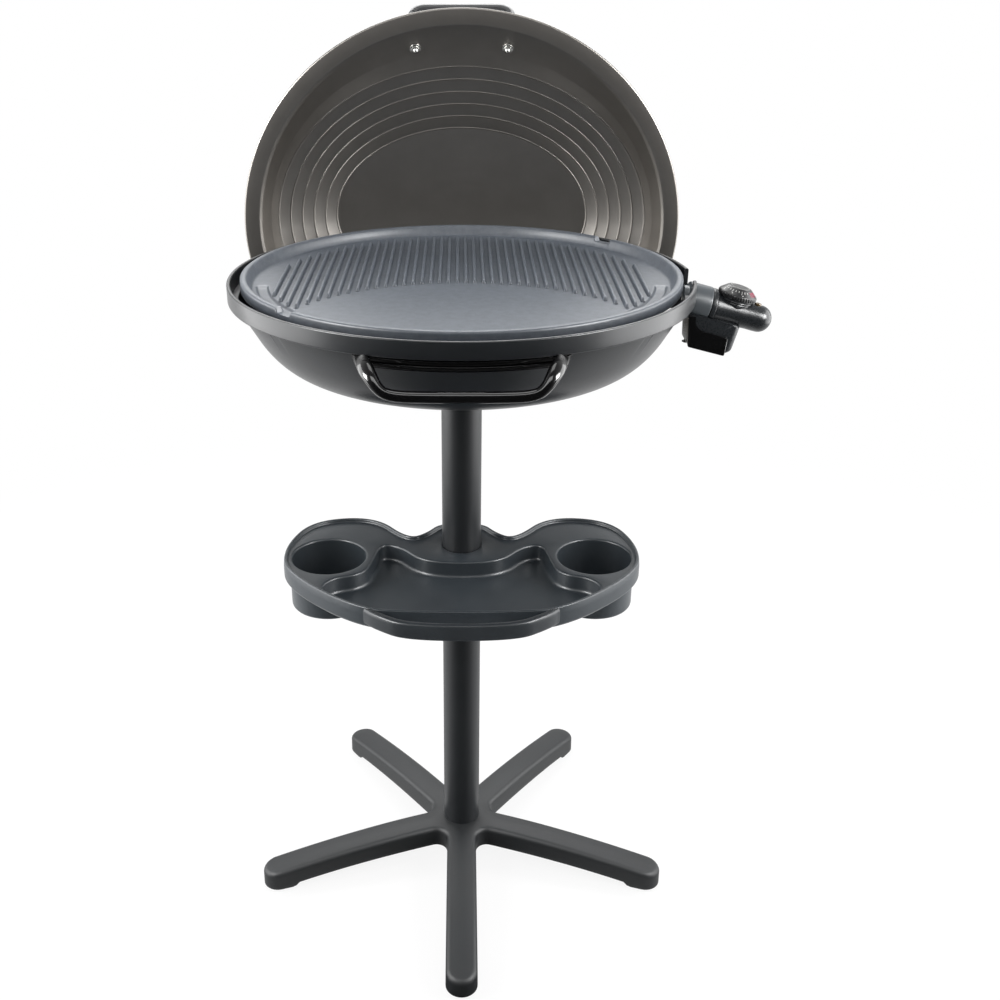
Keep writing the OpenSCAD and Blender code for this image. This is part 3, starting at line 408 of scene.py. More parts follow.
def star(grow):
    """Outline of the foot, moved out by grow: up each leg, round its tip, back, and round the fillet."""
    centre = (LEG_W / 2 + LEG_FILLET) / math.sin(math.pi / 5)
    start, tip = centre * math.cos(math.pi / 5), LEG_REACH - LEG_W / 2
    half = LEG_W / 2 + grow
    u = np.linspace(start, tip, 44)
    bend = np.linspace(-TAU / 4, TAU / 4, 17)[1:-1]
    turnback = np.linspace(0, 1, 13)[1:-1]
    out = []
    for i in range(5):
        a = TAU * i / 5 - TAU / 4
        cos, sin = math.cos(a), math.sin(a)
        local = np.concatenate([
            np.column_stack([u, np.full(len(u), -half)]),
            np.column_stack([tip + half * np.cos(bend), half * np.sin(bend)]),
            np.column_stack([u[::-1], np.full(len(u), half)])])
        out.append(local @ np.array([[cos, sin], [-sin, cos]]))
        f = a + TAU * 3 / 4 - turnback * TAU * 0.3
        c = centre * np.array([math.cos(a + TAU / 10), math.sin(a + TAU / 10)])
        out.append(c + (LEG_FILLET - grow) * np.column_stack([np.cos(f), np.sin(f)]))
    return np.concatenate(out)


def star_row(grow, rule):
    """One row of the foot: the outline at grow, at the height that rule gives for each point's radius."""
    flat = star(grow)
    return np.column_stack([flat, rule(np.hypot(flat[:, 0], flat[:, 1]))])


rounding = 6.5  # of the legs' upper edges
rows = [star_row(-4, lambda r: leg_top(r) - 4.5), star_row(-4, leg_low),
    star_row(-0.6, leg_low), star_row(0, lambda r: leg_low(r) + 0.8)]
for share in (0.25, 0.5, 0.75):
    rows.append(star_row(-0.2 * share,
        lambda r: leg_low(r) + 0.8 + (leg_top(r) - rounding - leg_low(r) - 0.8) * share))
for t in np.linspace(0, TAU / 4, 8):
    rows.append(star_row(-0.2 - rounding * (1 - math.cos(t)),
        lambda r: leg_top(r) - rounding * (1 - math.sin(t))))
for d in (9.5, 12.5, 15.5, 18.3):
    rows.append(star_row(-d, lambda r: leg_top(r) + 0.9 * (1 - ((18.5 - d) / 11.8) ** 2)))
top_row, under_row = rows[-1], rows[0]
foot_shells = [
    shell(rows),
    filled(top_row, height=lambda x, y: leg_top(np.hypot(x, y)) + 0.9),
    filled(under_row, height=lambda x, y: leg_top(np.hypot(x, y)) - 4.5)]
# The foot's dark colour is painted shade
piece("star_foot", foot_shells, "stand", foot_pp_painted_shade, ["base_star"], sharp=50)

# Shelf

SHELF_Z, DECK_Z, SKIRT_Z, CUP_R, CUP_X, CUP_Y = 448, 444, 424, 42, 152, -30
shelf_loop = loop_curve(mirrored([
    [50, -163], [112, -156], [199, -74], [206, -10], [180, 56], [104, 66], [62, 8], [42, 22], [26, 48]]), 420)
pan_loop = loop_curve(mirrored([
    [45, -158], [95, -151], [156, -112], [146, -82], [108, -72], [100,
        -34], [94, 0], [70, -8], [50, -36], [22, -46]]), 420)


def well(low, floor_round=4.0, lip=2.6):
    """Rows of a well from its lip on the deck down to its floor, as distance in from its edge and height."""
    t = np.linspace(0, TAU / 4, 6)
    lip_rows = [(lip * (1 - math.sin(a)), DECK_Z - lip * (1 - math.cos(a))) for a in t]
    foot_rows = [(-floor_round * (1 - math.cos(a)), low + floor_round * (1 - math.sin(a))) for a in t]
    return lip_rows + foot_rows


def well_outside(low, wall=3.0):
    """The same for the outside of the well's wall, from its floor up to the deck's underside."""
    t = np.linspace(0, TAU / 4, 5)
    r = 4.0
    return [(wall - r + r * math.sin(a), low - wall + r * (1 - math.cos(a)))
        for a in t] + [(wall, DECK_Z - 3)]


def band_profile():
    """Section of the shelf's edge from the deck over the lip, down the skirt and up its inner side."""
    points = [(-7.5, DECK_Z), (-5.2, DECK_Z), (-4.2, SHELF_Z), (-0.9, SHELF_Z),
        (0, SHELF_Z - 8), (0, SKIRT_Z + 3), (-2.2, SKIRT_Z),
              (-3.4, SKIRT_Z + 1), (-3.2, DECK_Z - 3), (-5, DECK_Z - 3)]
    return softened(points, 1.5, 5)


edge_rows = edged(shelf_loop, band_profile())
cup_floor = DECK_Z - 56
pan_floor = DECK_Z - 20
shelf_shells = [shell(edge_rows)]
top_holes, under_holes = [], []
for side in (-1, 1):
    cup = circle(CUP_R, 96, (side * CUP_X, CUP_Y))
    rows_in, rows_out = edged(cup, well(cup_floor)), edged(cup, well_outside(cup_floor))
    shelf_shells += [shell(rows_in), shell(rows_out), filled(rows_in[-1], height=cup_floor),
        filled(rows_out[0], height=cup_floor - 3)]
    top_holes.append(rows_in[0])
    under_holes.append(rows_out[-1])
rows_in, rows_out = edged(pan_loop, well(pan_floor, 5.0)), edged(pan_loop, well_outside(pan_floor))
shelf_shells += [shell(rows_in), shell(rows_out), filled(rows_in[-1], height=pan_floor),
    filled(rows_out[0], height=pan_floor - 3)]
collar = circle(22.6, 96)
collar_rows = edged(collar,
    [(1.6, DECK_Z), (0.5, DECK_Z - 0.5), (0, DECK_Z - 1.6), (0, SKIRT_Z), (4, SKIRT_Z), (4, DECK_Z - 3)])
shelf_shells.append(shell(collar_rows))
top_holes += [rows_in[0], collar_rows[0]]
under_holes += [rows_out[-1], collar_rows[-1]]
shelf_shells += [filled(edge_rows[0], top_holes, DECK_Z), filled(edge_rows[-1], under_holes, DECK_Z - 3)]
piece("shelf_moulding", shelf_shells, "stand", grained_pp, ["shelf"], sharp=42)

# Front rail: an inner and an outer line with a rounded section between them
rail_half = [[104, -154], [92, -167], [57.2, -190]]
rail_inner_half = [[92, -154], [85, -161], [52.2, -182]]
outer_line = open_curve(mirrored(rail_half), 120)
inner_line = open_curve(mirrored(rail_inner_half), 120)
outer_line[:3, 1] = np.maximum(outer_line[:3, 1], -156.5)
rail_low, rail_high = 428.5, 447.5
t = np.linspace(0, TAU, 28, endpoint=False)
squircle = np.column_stack([np.sign(np.cos(t)) * np.abs(np.cos(t)) ** 0.55,
    np.sign(np.sin(t)) * np.abs(np.sin(t)) ** 0.45])
middle = (outer_line + inner_line) / 2
half = (outer_line - inner_line) / 2
rail_rows = np.stack([np.column_stack([
    middle[:, 0] + squircle[k, 0] * half[:, 0], middle[:, 1] + squircle[k, 0] * half[:, 1],
    np.full(120, (rail_low + rail_high) / 2) + squircle[k,
        1] * (rail_high - rail_low) / 2]) for k in range(28)], 1)
piece("front_rail", [ended(rail_rows)], "stand", rail_pp, ["shelf_rail"])

# Bowl

SIDE_HW = 236
side_line = open_curve([[100, 665], [150, 665], [202, 684], [236, 745]], k=16)
side_line_in = open_curve([[100, 668], [149, 668], [199, 685.5], [233, 745]], k=12)
band_line = softened([(233, 745), (233, 748), (240.5, 748), (241, 764),
    (245, 764), (245, 746), (236.5, 746), (236, 744)], 1.6, 5)
bowl_line = np.concatenate([[[0, 668], [60, 668]], side_line_in[:-1],
    band_line, side_line[::-1][1:], [[60, 665], [0, 665]]])
bowl = piece("bowl_casting", [shell(ovals(bowl_line, 360))], "head",
    bowl_enamel, ["bowl_shell"], sharp=45)


def prism(outline, low, high):
    """A straight solid over an outline of three-part points, between two values of y."""
    outline = np.asarray(outline, float)
    rows = np.stack([np.column_stack([outline[:, 0], np.full(len(outline), y), outline[:, 1]])
        for y in (low, high)])
    return ended(rows)


mouth = softened([(0, 730), (88, 730), (92, 733), (103, 745.9), (0, 745.9)], 2.5, 5)
mouth = np.concatenate([mouth, (mouth * [-1, 1])[::-1][1:-1]])
cutters = [prism(mouth, -262, -168), placed(block(60, 48, 0, 60, 3), (233, 0, 712), np.eye(3))]
for degrees in (-40, 220):
    a = math.radians(degrees)
    turned_axes = [[math.cos(a), math.sin(a), 0], [-math.sin(a), math.cos(a), 0], [0, 0, 1]]
    cutters.append(placed(block(10, 16, 0, 8.9, 1.5),
        (238 * math.cos(a), OVAL * 238 * math.sin(a), 737), turned_axes))
carve(bowl, cutters, 45)

# Plate

COOK_Z = 758
RIB_COUNT, RIB_PITCH, RIB_ZONE = 42, 9.24, 201
COUNT = 720  # of points round the plate
angle = np.arange(COUNT) * TAU / COUNT


def ease(x):
    """A smooth step from 0 to 1."""
    x = np.clip(x, 0, 1)
    return x * x * (3 - 2 * x)


def plate_rows():
    """Rows of the plate from its middle out over the rim and back under it.

    The depth of the groove and the two notches of the rim depend on the angle.
    """
    front = ease((-np.sin(angle) - 0.10) / 0.05)
    notch = np.zeros(COUNT)
    for degrees in (43, 223):
        away = np.abs((angle - math.radians(degrees) + math.pi) % TAU - math.pi) * 224
        notch = np.maximum(notch, 1 - ease((away - 9.5) / 2.5))
    top = [(w, COOK_Z, 0) for w in (0, 80, 150, 190, 200)]
    top += [(201.6 + 13.4 * u, COOK_Z, ease(u / 0.18) * ease((1 - u) / 0.18)) for u in np.linspace(0, 1, 15)]
    rim = [(217.5, 758.0, 0), (219, 758.3, 0), (220, 759.2, 0), (221.6, 763.5, 0),
        (223, 766.8, 0.5), (223.9, 768.3, 1), (225.2, 769, 1),
           (227.5, 769, 1), (229.6, 768.7, 1), (230.7, 767.8, 1), (231, 766.2,
               0.75), (231, 761, 0), (231, 757.4, 0), (230.4, 756.5, 0),
           (226.6, 756, 0), (224.6, 753.2, 0), (223.5, 753, 0), (150, 753, 0), (0, 753, 0)]
    rows = [(w, np.full(COUNT, z) - 2.2 * g * front) for w, z,
        g in top] + [(w, z - (z - 763.6) * notch * (k > 0)) for w, z, k in rim]
    return np.stack([np.column_stack([w * np.cos(angle), OVAL * w * np.sin(angle), z * np.ones(COUNT)])
        for w, z in rows])


def rib(x):
    """One rib: a rounded bar from the griddle zone to the back of the ribbed zone, with sloping ends."""
    edge = abs(x) + 2.3
    back = OVAL * RIB_ZONE * math.sqrt(max(0, 1 - (edge / RIB_ZONE) ** 2))
    arc = -OVAL * RIB_ZONE * math.sqrt(max(0, 1 - (x / RIB_ZONE) ** 2))
    front = max(arc, math.sqrt(187**2 - x * x) - 200 if abs(x) < 187 else -200)
    if back - front < 8:
        return None
    ends = np.array([(0, 0.0), (0.5, 0.35), (1.4, 0.72), (2.8, 0.93), (4.5, 1.0)])
    along = np.concatenate([front + ends[:, 0], back - ends[::-1, 0]])
    rise = np.concatenate([ends[:, 1], ends[::-1, 1]])
    a = np.linspace(0, math.pi, 9)
    across, up = 1.55 * np.cos(a), 3.0 + 1.5 * np.sin(a)
    across = np.concatenate([[2.4], across, [-2.4]])
    up = np.concatenate([[0], up, [0]])
    return shell(np.stack([np.column_stack([x + across, np.full(11, y), COOK_Z - 0.3 + up * h]) for y,
        h in zip(along, rise)]))


ribs = [rib((i - (RIB_COUNT - 1) / 2) * RIB_PITCH) for i in range(RIB_COUNT)]
plate = piece("plate_casting", [shell(plate_rows())] + [r for r in ribs if r is not None],
    "plate", nonstick, ["grill_plate"], sharp=45)
carve(plate, [placed(block(46, 6.5, -8, 12, 3), (0, -199.5, 753), np.eye(3))], 45)

# Lid

LID_Y, LID_Z, LID_T = 235.81, 758.6, 2.5
LID_FRONT, LID_REAR = 253.6, 225
SEAT_X = 54.5  # of a handle screw, from the middle


def lid_rows(lines):
    """Rows of (half width, distance up, depth): x = w cos a, z = up sin a.

    Below the widest line z is smaller by the rear height over the front height.
    """
    a = np.arange(288) * TAU / 288
    p = np.asarray(lines, float)
    high = np.where(np.sin(a) > 0, 1.0, LID_REAR / LID_FRONT)
    return np.stack([p[:, :1] * np.cos(a), LID_Y + np.repeat(p[:, 2:3], 288, 1),
        LID_Z + p[:, 1:2] * np.sin(a) * high], -1)


flange = np.array([249, 235.1, 0])
first_step, last_step = flange + [-18, -48.5, 39.5], flange + [-88, -124, 73.5]
steps = [first_step + (last_step - first_step) * i / 5 for i in range(6)]
face = [np.array([265.4, 251.5, 0.0]), flange + [0, 0, 1.6], flange + [-3, -4, 5], flange + [-11, -30, 26]]
for s in steps:
    face += [s, s + [-0.5, -0.5, -0.7], s + [-1.2, -1.2, 0.9]]
crown = [np.array([last_step[0] * k, last_step[1] * k, 84.8 - 10.8 * k * k])
    for k in (0.95, 0.88, 0.8, 0.7, 0.6, 0.5, 0.35, 0.2, 0.1, 0.0)]
inner_face = softened(face + crown, 1.2, 5)
outer_face = softened([np.asarray(p) + LID_T * np.array([p[0] > 0, p[1] > 0, 1]) for p in face + crown],
    1.7, 5)[::-1]
edge_roll = np.array([(265.4 + 2.1 * math.sin(a), 251.5 + 2.1 * math.sin(a), 1.5 - 1.5 * math.cos(a))
    for a in np.linspace(0.3, 2.9, 8)])
lid_line = np.concatenate([outer_face[:-1], [[266.9, 253, 3.0]], edge_roll[::-1], inner_face])
piece("lid_pressing", [shell(lid_rows(lid_line))], "lid", lid_lacquer, ["lid_shell"], sharp=55)

# Handle of the lid: two feet and a bar
seat_ring = flange + [-3, -4, 5] + 0.65 * np.array([-8, -26, 21])
seat_a = math.acos(SEAT_X / seat_ring[0])
seat = np.array([SEAT_X, LID_Y + seat_ring[2], LID_Z + seat_ring[1] * math.sin(seat_a)])
along = np.array([-seat_ring[0] * math.sin(seat_a), 0, seat_ring[1] * math.cos(seat_a)])
across = np.array([-8 * math.cos(seat_a), 21, -26 * math.sin(seat_a)])
seat_out = np.cross(along, across)
seat_out *= (1 if seat_out[1] > 0 else -1) / np.linalg.norm(seat_out)
grip = np.array([0, seat[1] + 60 * seat_out[1], seat[2] + 60 * seat_out[2]])


def seat_axes(side):
    """Axes of a handle screw on the right (1) or left (-1): Z out of the lid."""
    z = seat_out * [side, 1, 1]
    x = np.cross([0, 1, 0], z)
    x /= np.linalg.norm(x)
    return np.array([x, np.cross(z, x), z])


def lid_grip():
    """The handle's line, with an oval section: up from one foot, round two corners, down to the other."""
    foot = seat + seat_out * 4.2
    high = grip + [54, 0, 0]
    line = softened([foot, foot + (high - foot) * 0.5 + seat_out * 4, high + [3, 0, 0],
        (high + [3, 0, 0]) * [0, 1, 1], (high + [3, 0, 0]) * [-1, 1, 1],
                     (foot + (high - foot) * 0.5 + seat_out * 4) * [-1, 1, 1], foot * [-1, 1, 1]], 16, 10)
    line = even(line, 90)
    a = np.linspace(0, TAU, 24, endpoint=False)
    near = np.minimum(np.arange(90), np.arange(90)[::-1]) / 12
    size = 7.6 + 0.8 * ease(near)
    section = np.stack([np.column_stack([s * np.cos(a), 0.92 * s * np.sin(a)]) for s in size])
    return ended(swept(line, section, up=(0, 0.6, 0.8)))


piece("lid_grip", [lid_grip()], "lid", nylon_black, ["lid_handle"])
nut = [(0, -7.2), (1.6, -7.0), (2.9, -6.0), (3.4, -4.9), (3.4, -4.6), (4.5, -4.4),
    (4.5, -1.9), (6.6, -1.7), (6.8, -1.2), (6.8, -0.3), (0, -0.3)]


def six_flats(a, z):
    """The nut's six flats, between its washer and its round end."""
    return np.where((z < -1.85) & (z > -4.5), 0.45 * np.abs(np.cos(3 * a)) - 0.2, 0.0)


piece("lid_nuts",
    [placed(shell(turned(nut, 48, six_flats)), seat * [s, 1, 1], seat_axes(s)) for s in (-1, 1)],
    "lid", zinc,
      ["lid_screws", "lid_washers"], sharp=30)

# Drip tray, its front and its grip

TRAY_FRONT, TRAY_BACK, TRAY_Z, TRAY_W, TRAY_H = -188, -48, 731, 166, 11
tray_plan = pill(TRAY_W, TRAY_BACK - TRAY_FRONT, 9, 8) + [0, (TRAY_FRONT + TRAY_BACK) / 2]
tray_line = softened([(-8, TRAY_Z), (0, TRAY_Z), (0, TRAY_Z + TRAY_H),
    (-1.2, TRAY_Z + TRAY_H), (-1.2, TRAY_Z + 1.2), (-8, TRAY_Z + 1.2)], 1.2, 4)
tray_rows = edged(tray_plan, tray_line)
piece("drip_pan",
    [shell(tray_rows), filled(tray_rows[0], height=TRAY_Z), filled(tray_rows[-1], height=TRAY_Z + 1.2)],
    "tray", sheet_aluminium,
      ["drip_tray"], sharp=50)


def front_strip(w, low, high, out, back=10):
    """A strip that follows the bowl's front between two heights, with round edges."""
    x = np.linspace(-w, w, 61)
    section = softened([(0, low), (out, low), (out, high), (0, high)], 1.0, 4)
    rows = []
    for d, z in section:
        r = SIDE_HW - 14 + d
        rows.append(np.column_stack([x, -OVAL * np.sqrt(r * r - x * x), np.full(61, z)]))
    back_row = [np.column_stack([x, -OVAL * np.sqrt((SIDE_HW - 14 - back) ** 2 - x * x), np.full(61, z)])
        for z in (high, low)]
    rows = np.stack(rows + back_row, 1)
    return ended(rows)


def tray_grip():
    """The grip's line: out of the mouth, down in front of the bowl and across."""
    right = [[94, -196, 741], [90, -214, 741], [84, -232, 737],
        [74, -240, 722], [62, -241, 717.2], [34, -241, 716.2]]
    line = open_curve(mirrored3(right), 110)
    a = np.linspace(0, TAU, 20, endpoint=False)
    near = np.abs(np.linspace(-1, 1, 110))
    wide = 5.3 + 1.9 * ease((near - 0.55) / 0.2)
    tall = 6.6 - 1.0 * ease((near - 0.6) / 0.2)
    section = np.stack([np.column_stack([np.sign(np.cos(a)) * np.abs(np.cos(a)) ** 0.7 * w,
        np.sign(np.sin(a)) * np.abs(np.sin(a)) ** 0.7 * h]) for w, h in zip(wide, tall)])
    return ended(swept(line, section, up=(0, -1, 0.25)))


def mirrored3(half):
    """A half line in space on the right side and its mirror on the left."""
    half = np.asarray(half, float)
    return np.concatenate([half, half[::-1] * [-1, 1, 1]])


strips = [front_strip(90, 731.2, 735.2, 8), front_strip(86, 735.0, 739.4, 5.5),
    front_strip(84, 739.2, 745, 2.5)]
piece("tray_grip", [tray_grip()] + strips, "tray", phenolic, ["tray_handle"], sharp=40)

# Controller, in the frame of the plug: X down, Y to the back, Z out along the plug

TILT = math.radians(15)
OUT = np.array([math.cos(TILT), 0, -math.sin(TILT)])
DOWN = np.array([-math.sin(TILT), 0, -math.cos(TILT)])
PLUG = np.array([262.0, 0, 731.0])
PLUG_AXES = np.array([DOWN, [0, 1, 0], OUT])
KNOB_AXES = np.array([OUT, [0, 1, 0], -DOWN])
KNOB = PLUG + 27 * OUT
SHROUD_R = 19.5


def at_plug(shape):
    """A shell from the plug's frame."""
    return placed(shape, PLUG, PLUG_AXES)


def at_knob(shape):
    """A shell from the knob's frame: Z up along the knob."""
    return placed(shape, KNOB, KNOB_AXES)


shroud_line = softened([(0, -31), (14, -31), (14.5, -25.5), (18.8, -25), (SHROUD_R, -24),
    (SHROUD_R, -0.6), (18.9, 0), (17.5, 0), (17.5, -22), (0, -22)], 1.2, 4)
piece("plug_shroud", [at_plug(shell(turned(shroud_line, 96)))],
    "plate", shroud_nylon, ["socket_shroud"])
collar_line = softened([(0, 6.2), (18.3, 6.2), (19, 5.4), (19, 1.2),
    (18.3, 0.3), (16, 0.3), (15, 0.6), (15, 4.7), (0, 4.7)], 0.6, 4)
piece("collar_ring", [at_plug(shell(turned(collar_line, 96)))],
    "controller", case_abs, ["plug_collar"])

body_line = [(0, 6.25), (15.8, 6.25), (16.5, 7.2), (16.1, 12),
    (15.4, 20), (14.7, 34), (14.2, 46), (14.4, 53), (14.3, 58)]
dome = [(14.3 * math.cos(a), 58 + 13.5 * math.sin(a)) for a in np.linspace(0.15, TAU / 4, 10)]
body_shell = at_plug(shell(turned(np.array(body_line + dome), 96)))


def pedestal():
    """The knob's seat: an oval that widens upwards in shallow ridges."""
    lines = [(0, 12.6), (5, 13), (8, 13.8), (10.4, 15.2), (10.9, 15.9), (11.6, 15.4),
        (13, 16.6), (13.4, 17.3), (14.1, 16.8), (15.4, 18), (16.2, 18), (16.5, 17.5)]
    rows = [np.column_stack([circle(1, 72) * [r + 0.4, r], np.full(72, z)]) for z,
        r in softened(lines, 0.4, 3)]
    return at_knob(ended(rows))


def case_box():
    """The box under the body: an outline (along the plug, down) carried back, with a rounded outer end."""
    rows = []
    for y in np.concatenate([-22 + 10 * (1 - np.cos(np.linspace(0, TAU / 4, 9))),
        22 - 10 * (1 - np.cos(np.linspace(TAU / 4, 0, 9)))]):
        curve = 1 - math.sqrt(max(0, 1 - max(0, (abs(y) - 12) / 10) ** 2))
        far, low, near = 38 - 7.5 * curve, 43.6 - 1.6 * curve, 0.8 * curve
        corners = [(-21 + near, 8.6), (far, 9.4), (far, 38), (far - 7, low), (-10.8 + near, low)]
        outline = softened([(0, 8.6)] + corners[1:] + [corners[0], (0, 8.6)], 3.0, 5)[:-1]
        rows.append(np.column_stack([outline[:, 1], np.full(len(outline), y * 20.2 / 22), outline[:, 0]]))
    return at_plug(ended(rows))


piece("controller_case", [body_shell, pedestal()], "controller", case_abs,
    ["controller_upper"], sharp=40)
case = piece("controller_box", [case_box()], "controller", case_abs,
    ["controller_lower"], sharp=40)
carve(case, [at_plug(ended(turned([(20.3, -34), (20.3, 6.24)], 96)))], 40)


def cover():
    """Glossy cover on the box's front: flat, with a hollow arc under the plug and a bevelled edge."""
    arc = [(0.6 - 13.6 * math.cos(a), 10.4 + 13.4 * math.sin(a)) for a in np.linspace(0.1, TAU / 4, 9)]
    corners = softened([(8, 23.8), (27.6, 24), (30.4, 43.8), (-10.7, 44),
        (-20.6, 13.2), (-19.8, 10.6), (-14, 10.4)], 2.0, 5)
    outline = np.concatenate([arc, corners])[:, ::-1]
    centre = outline.mean(0)
    rows = []
    for y, size in ((-20.0, 1.0), (-21.6, 1.0), (-22.1, 0.985), (-22.2, 0.965)):
        flat = centre + (outline - centre) * size
        rows.append(np.column_stack([flat[:, 0], np.full(len(flat), y), flat[:, 1]]))
    shells = [shell(rows)]
    for row in (rows[0], rows[-1]):
        points, faces = filled(row[:, [0, 2]])
        shells.append((np.column_stack([points[:, 0], np.full(len(points), row[0, 1]), points[:, 1]]), faces))
    return [at_plug(q) for q in shells]


piece("case_cover", cover(), "controller", phenolic, ["box_cover"], sharp=30)

KNOB_LOW, KNOB_R = 16.7, 20.7
CONE_LOW, CONE_HIGH, CONE_R = 4.7, 10.2, 13.2


def knob_shell():
    """The knob: a fluted skirt under a cone with a flat top."""
    line = np.array([(0, 0), (KNOB_R - 0.8, 0), (KNOB_R, 0.6), (KNOB_R, 3.6), (KNOB_R - 0.7, CONE_LOW),
        (CONE_R, CONE_HIGH), (12.2, 10.8), (0, 11.0)]) + [0, KNOB_LOW]

    def flutes(a, z):
        """Forty shallow grooves round the skirt."""
        return np.where((z > KNOB_LOW + 0.4) & (z < KNOB_LOW + 4.0), 0.5 * np.abs(np.cos(20 * a)) - 0.5, 0.0)

    return at_knob(shell(turned(softened(line, 0.6, 4), 480, flutes)))


piece("knob_body", [knob_shell()], "knob", nylon_black, ["knob"], sharp=35)


def mark(degrees, low, high, half, lift=0.12):
    """A thin printed bar on the knob's cone, from radius low to high, half its width in mm."""
    a = math.radians(degrees)
    r = np.array([low, high, high, low])
    side = np.array([-half, -half, half, half])
    z = KNOB_LOW + CONE_LOW + (KNOB_R - 0.7 - r) * (CONE_HIGH - CONE_LOW) / (KNOB_R - 0.7 - CONE_R)
    ring = np.column_stack([r * math.cos(a) - side * math.sin(a),
        r * math.sin(a) + side * math.cos(a), z + lift])
    return at_knob(ended(np.stack([ring - [0, 0, 0.4], ring])))


marks = [mark(196 + 12 * i, 14.6, 17.8 if i % 3 == 0 else 16.4, 0.34) for i in range(9)]
marks += [mark(200 + 36 * i, 18.2, 19.2, 0.5) for i in range(3)]
dial_ring = np.array([(9.6, 10.9), (9.6, 11.1), (9.9, 11.1), (9.9, 10.9)]) + [0, KNOB_LOW]
piece("knob_marks", marks + [at_knob(ring_closed(turned(dial_ring, 96)))],
    "knob", ink_white, ["knob_dial"], sharp=30)
red = [mark(306 + 6.4 * i, 14.2, 18.6, 0.62) for i in range(6)]
piece("off_mark", red, "knob", ink_red, sharp=30)

lamp_line = softened([(0, 12), (3.9, 12), (3.9, 15.2), (3.2, 16.0), (0, 16.4)], 0.5, 4)
piece("lamp_lens", [placed(shell(turned(lamp_line, 48)), PLUG + 52 * OUT, KNOB_AXES)],
    "controller", lamp_amber, ["indicator_lamp"], sharp=35)

# Finishes of the nodes that keep their solids

kept = {
    pad_rubber: ["foot_pads"],
    powder_coat: ["lid_rest"],
    nylon_black: ["column_socket", "plate_supports", "terminal_block", "cord_gland"],
    sheet_aluminium: ["heat_reflector"],
    oxide_steel: ["heating_element"],
    steatite: ["contact_sleeves", "thermostat_switch"],
    zinc: ["tube_coupler", "tube_plug", "base_bolt", "base_washer", "shelf_screws",
        "rail_screws", "socket_screws", "tray_runners", "lid_rest_screws",
           "element_clips", "contact_pins", "tray_rivets", "probe_rod", "switch_shaft", "housing_screws"]}
for finish, names in kept.items():
    for name in names:
        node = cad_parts[name]
        node.data.materials.clear()
        node.data.materials.append(finish)

# Floor, light and camera

floor_mesh = bpy.data.meshes.new("floor")
floor_mesh.from_pydata([(-14, -14, -0.0005), (14, -14, -0.0005), (14, 14, -0.0005), (-14, 14, -0.0005)],
    [], [(0, 1, 2, 3)])
floor = bpy.data.objects.new("floor", floor_mesh)
bpy.context.scene.collection.objects.link(floor)
paper = bpy.data.materials.new("studio_paper")
paper.use_nodes = True
tree = paper.node_tree
tree.nodes.clear()
path = add(tree, "ShaderNodeLightPath")
matt = add(tree, "ShaderNodeBsdfDiffuse", {"Color": hexed("#f4f4f4")})
glow = add(tree, "ShaderNodeEmission", {"Color": (1, 1, 1, 1), "Strength": 1.0})
# The paper keeps a shadow near the foot and is plain white from 1.5 m on
spot = add(tree, "ShaderNodeTexCoord")
reach = add(tree, "ShaderNodeVectorMath", {0: (spot, "Object")}, operation="LENGTH")
fade = add(tree, "ShaderNodeMapRange",
    {"Value": (reach, "Value"), "From Min": 0.3, "From Max": 1.5, "To Min": 0.88, "To Max": 1.0})
share = add(tree, "ShaderNodeMath", {0: (path, "Is Camera Ray"), 1: (fade, "Result")}, operation="MULTIPLY")
lit = add(tree, "ShaderNodeMixShader", {0: (share, 0), 1: (matt, 0), 2: (glow, 0)})
# Gloss sees it white behind and beside the object, and nearly black in front
bearing = add(tree, "ShaderNodeVectorMath", {0: (spot, "Object")}, operation="NORMALIZE")
parts = add(tree, "ShaderNodeSeparateXYZ", {0: (bearing, 0)})
front = add(tree, "ShaderNodeMapRange",
    {"Value": (parts, "Y"), "From Min": -0.85, "From Max": -0.1, "To Min": 0.04, "To Max": 1.0})
mirror = add(tree, "ShaderNodeEmission", {"Color": (1, 1, 1, 1), "Strength": (front, 0)})
both = add(tree, "ShaderNodeMixShader", {0: (path, "Is Glossy Ray"), 1: (lit, 0), 2: (mirror, 0)})
add(tree, "ShaderNodeOutputMaterial", {"Surface": (both, 0)})
floor_mesh.materials.append(paper)

world = bpy.context.scene.world or bpy.data.worlds.new("studio")
bpy.context.scene.world = world
world.use_nodes = True
tree = world.node_tree
tree.nodes.clear()
path = add(tree, "ShaderNodeLightPath")
around = add(tree, "ShaderNodeTexCoord")
parts = add(tree, "ShaderNodeSeparateXYZ", {0: (around, "Generated")})
# Diffuse light of the room: strongest overhead, weakest towards the floor
rise = add(tree, "ShaderNodeMapRange",
    {"Value": (parts, "Z"), "From Min": -0.2, "From Max": 1.0, "To Min": 0.10, "To Max": 0.45})
room = add(tree, "ShaderNodeBackground", {"Color": (1, 1, 1, 1), "Strength": (rise, 0)})
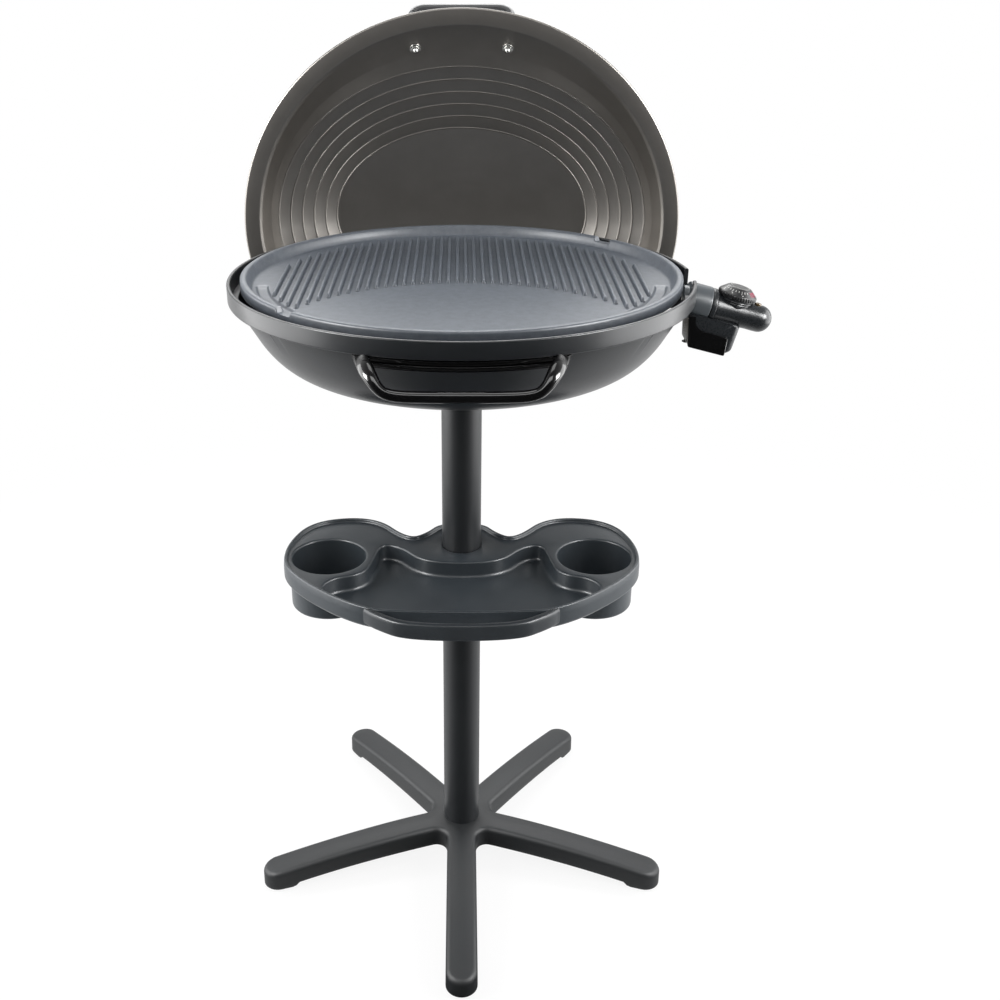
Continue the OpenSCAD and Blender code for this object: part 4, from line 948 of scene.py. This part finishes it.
# Gloss sees white behind and beside the object, a dim ceiling, and a nearly black room in front
depth = add(tree, "ShaderNodeMapRange",
    {"Value": (parts, "Y"), "From Min": -0.85, "From Max": -0.1, "To Min": 0.04, "To Max": 1.0})
above = add(tree, "ShaderNodeMapRange",
    {"Value": (parts, "Z"), "From Min": 0.45, "From Max": 0.85, "To Min": 1.0, "To Max": 0.35})
seen_in_gloss = add(tree, "ShaderNodeMath", {0: (depth, 0), 1: (above, 0)}, operation="MULTIPLY")
backdrop = add(tree, "ShaderNodeBackground", {"Color": (1, 1, 1, 1), "Strength": (seen_in_gloss, 0)})
white = add(tree, "ShaderNodeBackground", {"Color": (1, 1, 1, 1), "Strength": 1.0})
gloss = add(tree, "ShaderNodeMixShader", {0: (path, "Is Glossy Ray"), 1: (room, 0), 2: (backdrop, 0)})
seen = add(tree, "ShaderNodeMixShader", {0: (path, "Is Camera Ray"), 1: (gloss, 0), 2: (white, 0)})
add(tree, "ShaderNodeOutputWorld", {"Surface": (seen, 0)})


def lamp(name, place, aim, size, watts, tall=None):
    """A soft rectangular lamp at place, pointed at aim."""
    data = bpy.data.lights.new(name, "AREA")
    data.shape = "RECTANGLE"
    data.size, data.size_y, data.energy = size, tall or size, watts
    obj = bpy.data.objects.new(name, data)
    bpy.context.scene.collection.objects.link(obj)
    obj.location = place
    obj.visible_camera = False
    away = bpy.data.objects[name].location - type(obj.location)(aim)
    obj.rotation_euler = away.to_track_quat("Z", "Y").to_euler()
    return obj


# The two reflectors light gloss only
for side, name in ((-1, "left"), (1, "right")):
    lamp(f"{name}_softbox", (side * 1.5, 0.0, 0.9), (0, 0, 0.75), 1.6, 36, 1.7)
    lamp(f"{name}_reflector", (side * 1.2, -0.75, 1.3), (0, 0.3, 0.85), 0.6, 34, 0.6).visible_diffuse = False
lamp("front_softbox", (0, -1.5, 2.0), (0, 0.2, 0.8), 1.3, 8, 0.5)
lamp("back_softbox", (0, 1.1, 1.75), (0, 0, 0.7), 1.6, 26, 0.8)
lamp("top_softbox", (0, 0, 2.2), (0, 0, 0.7), 1.0, 8)

camera_data = bpy.data.cameras.new("camera")
camera_data.lens, camera_data.sensor_width = 43.02, 36
camera_data.shift_x = 0.0384
camera = bpy.data.objects.new("camera", camera_data)
bpy.context.scene.collection.objects.link(camera)
camera.location = (0, -1.240, 1.090)
camera.rotation_euler = (math.radians(64.58), 0, 0)
bpy.context.scene.camera = camera
bpy.context.scene.view_settings.view_transform = "Standard"


bpy.context.view_layer.update()
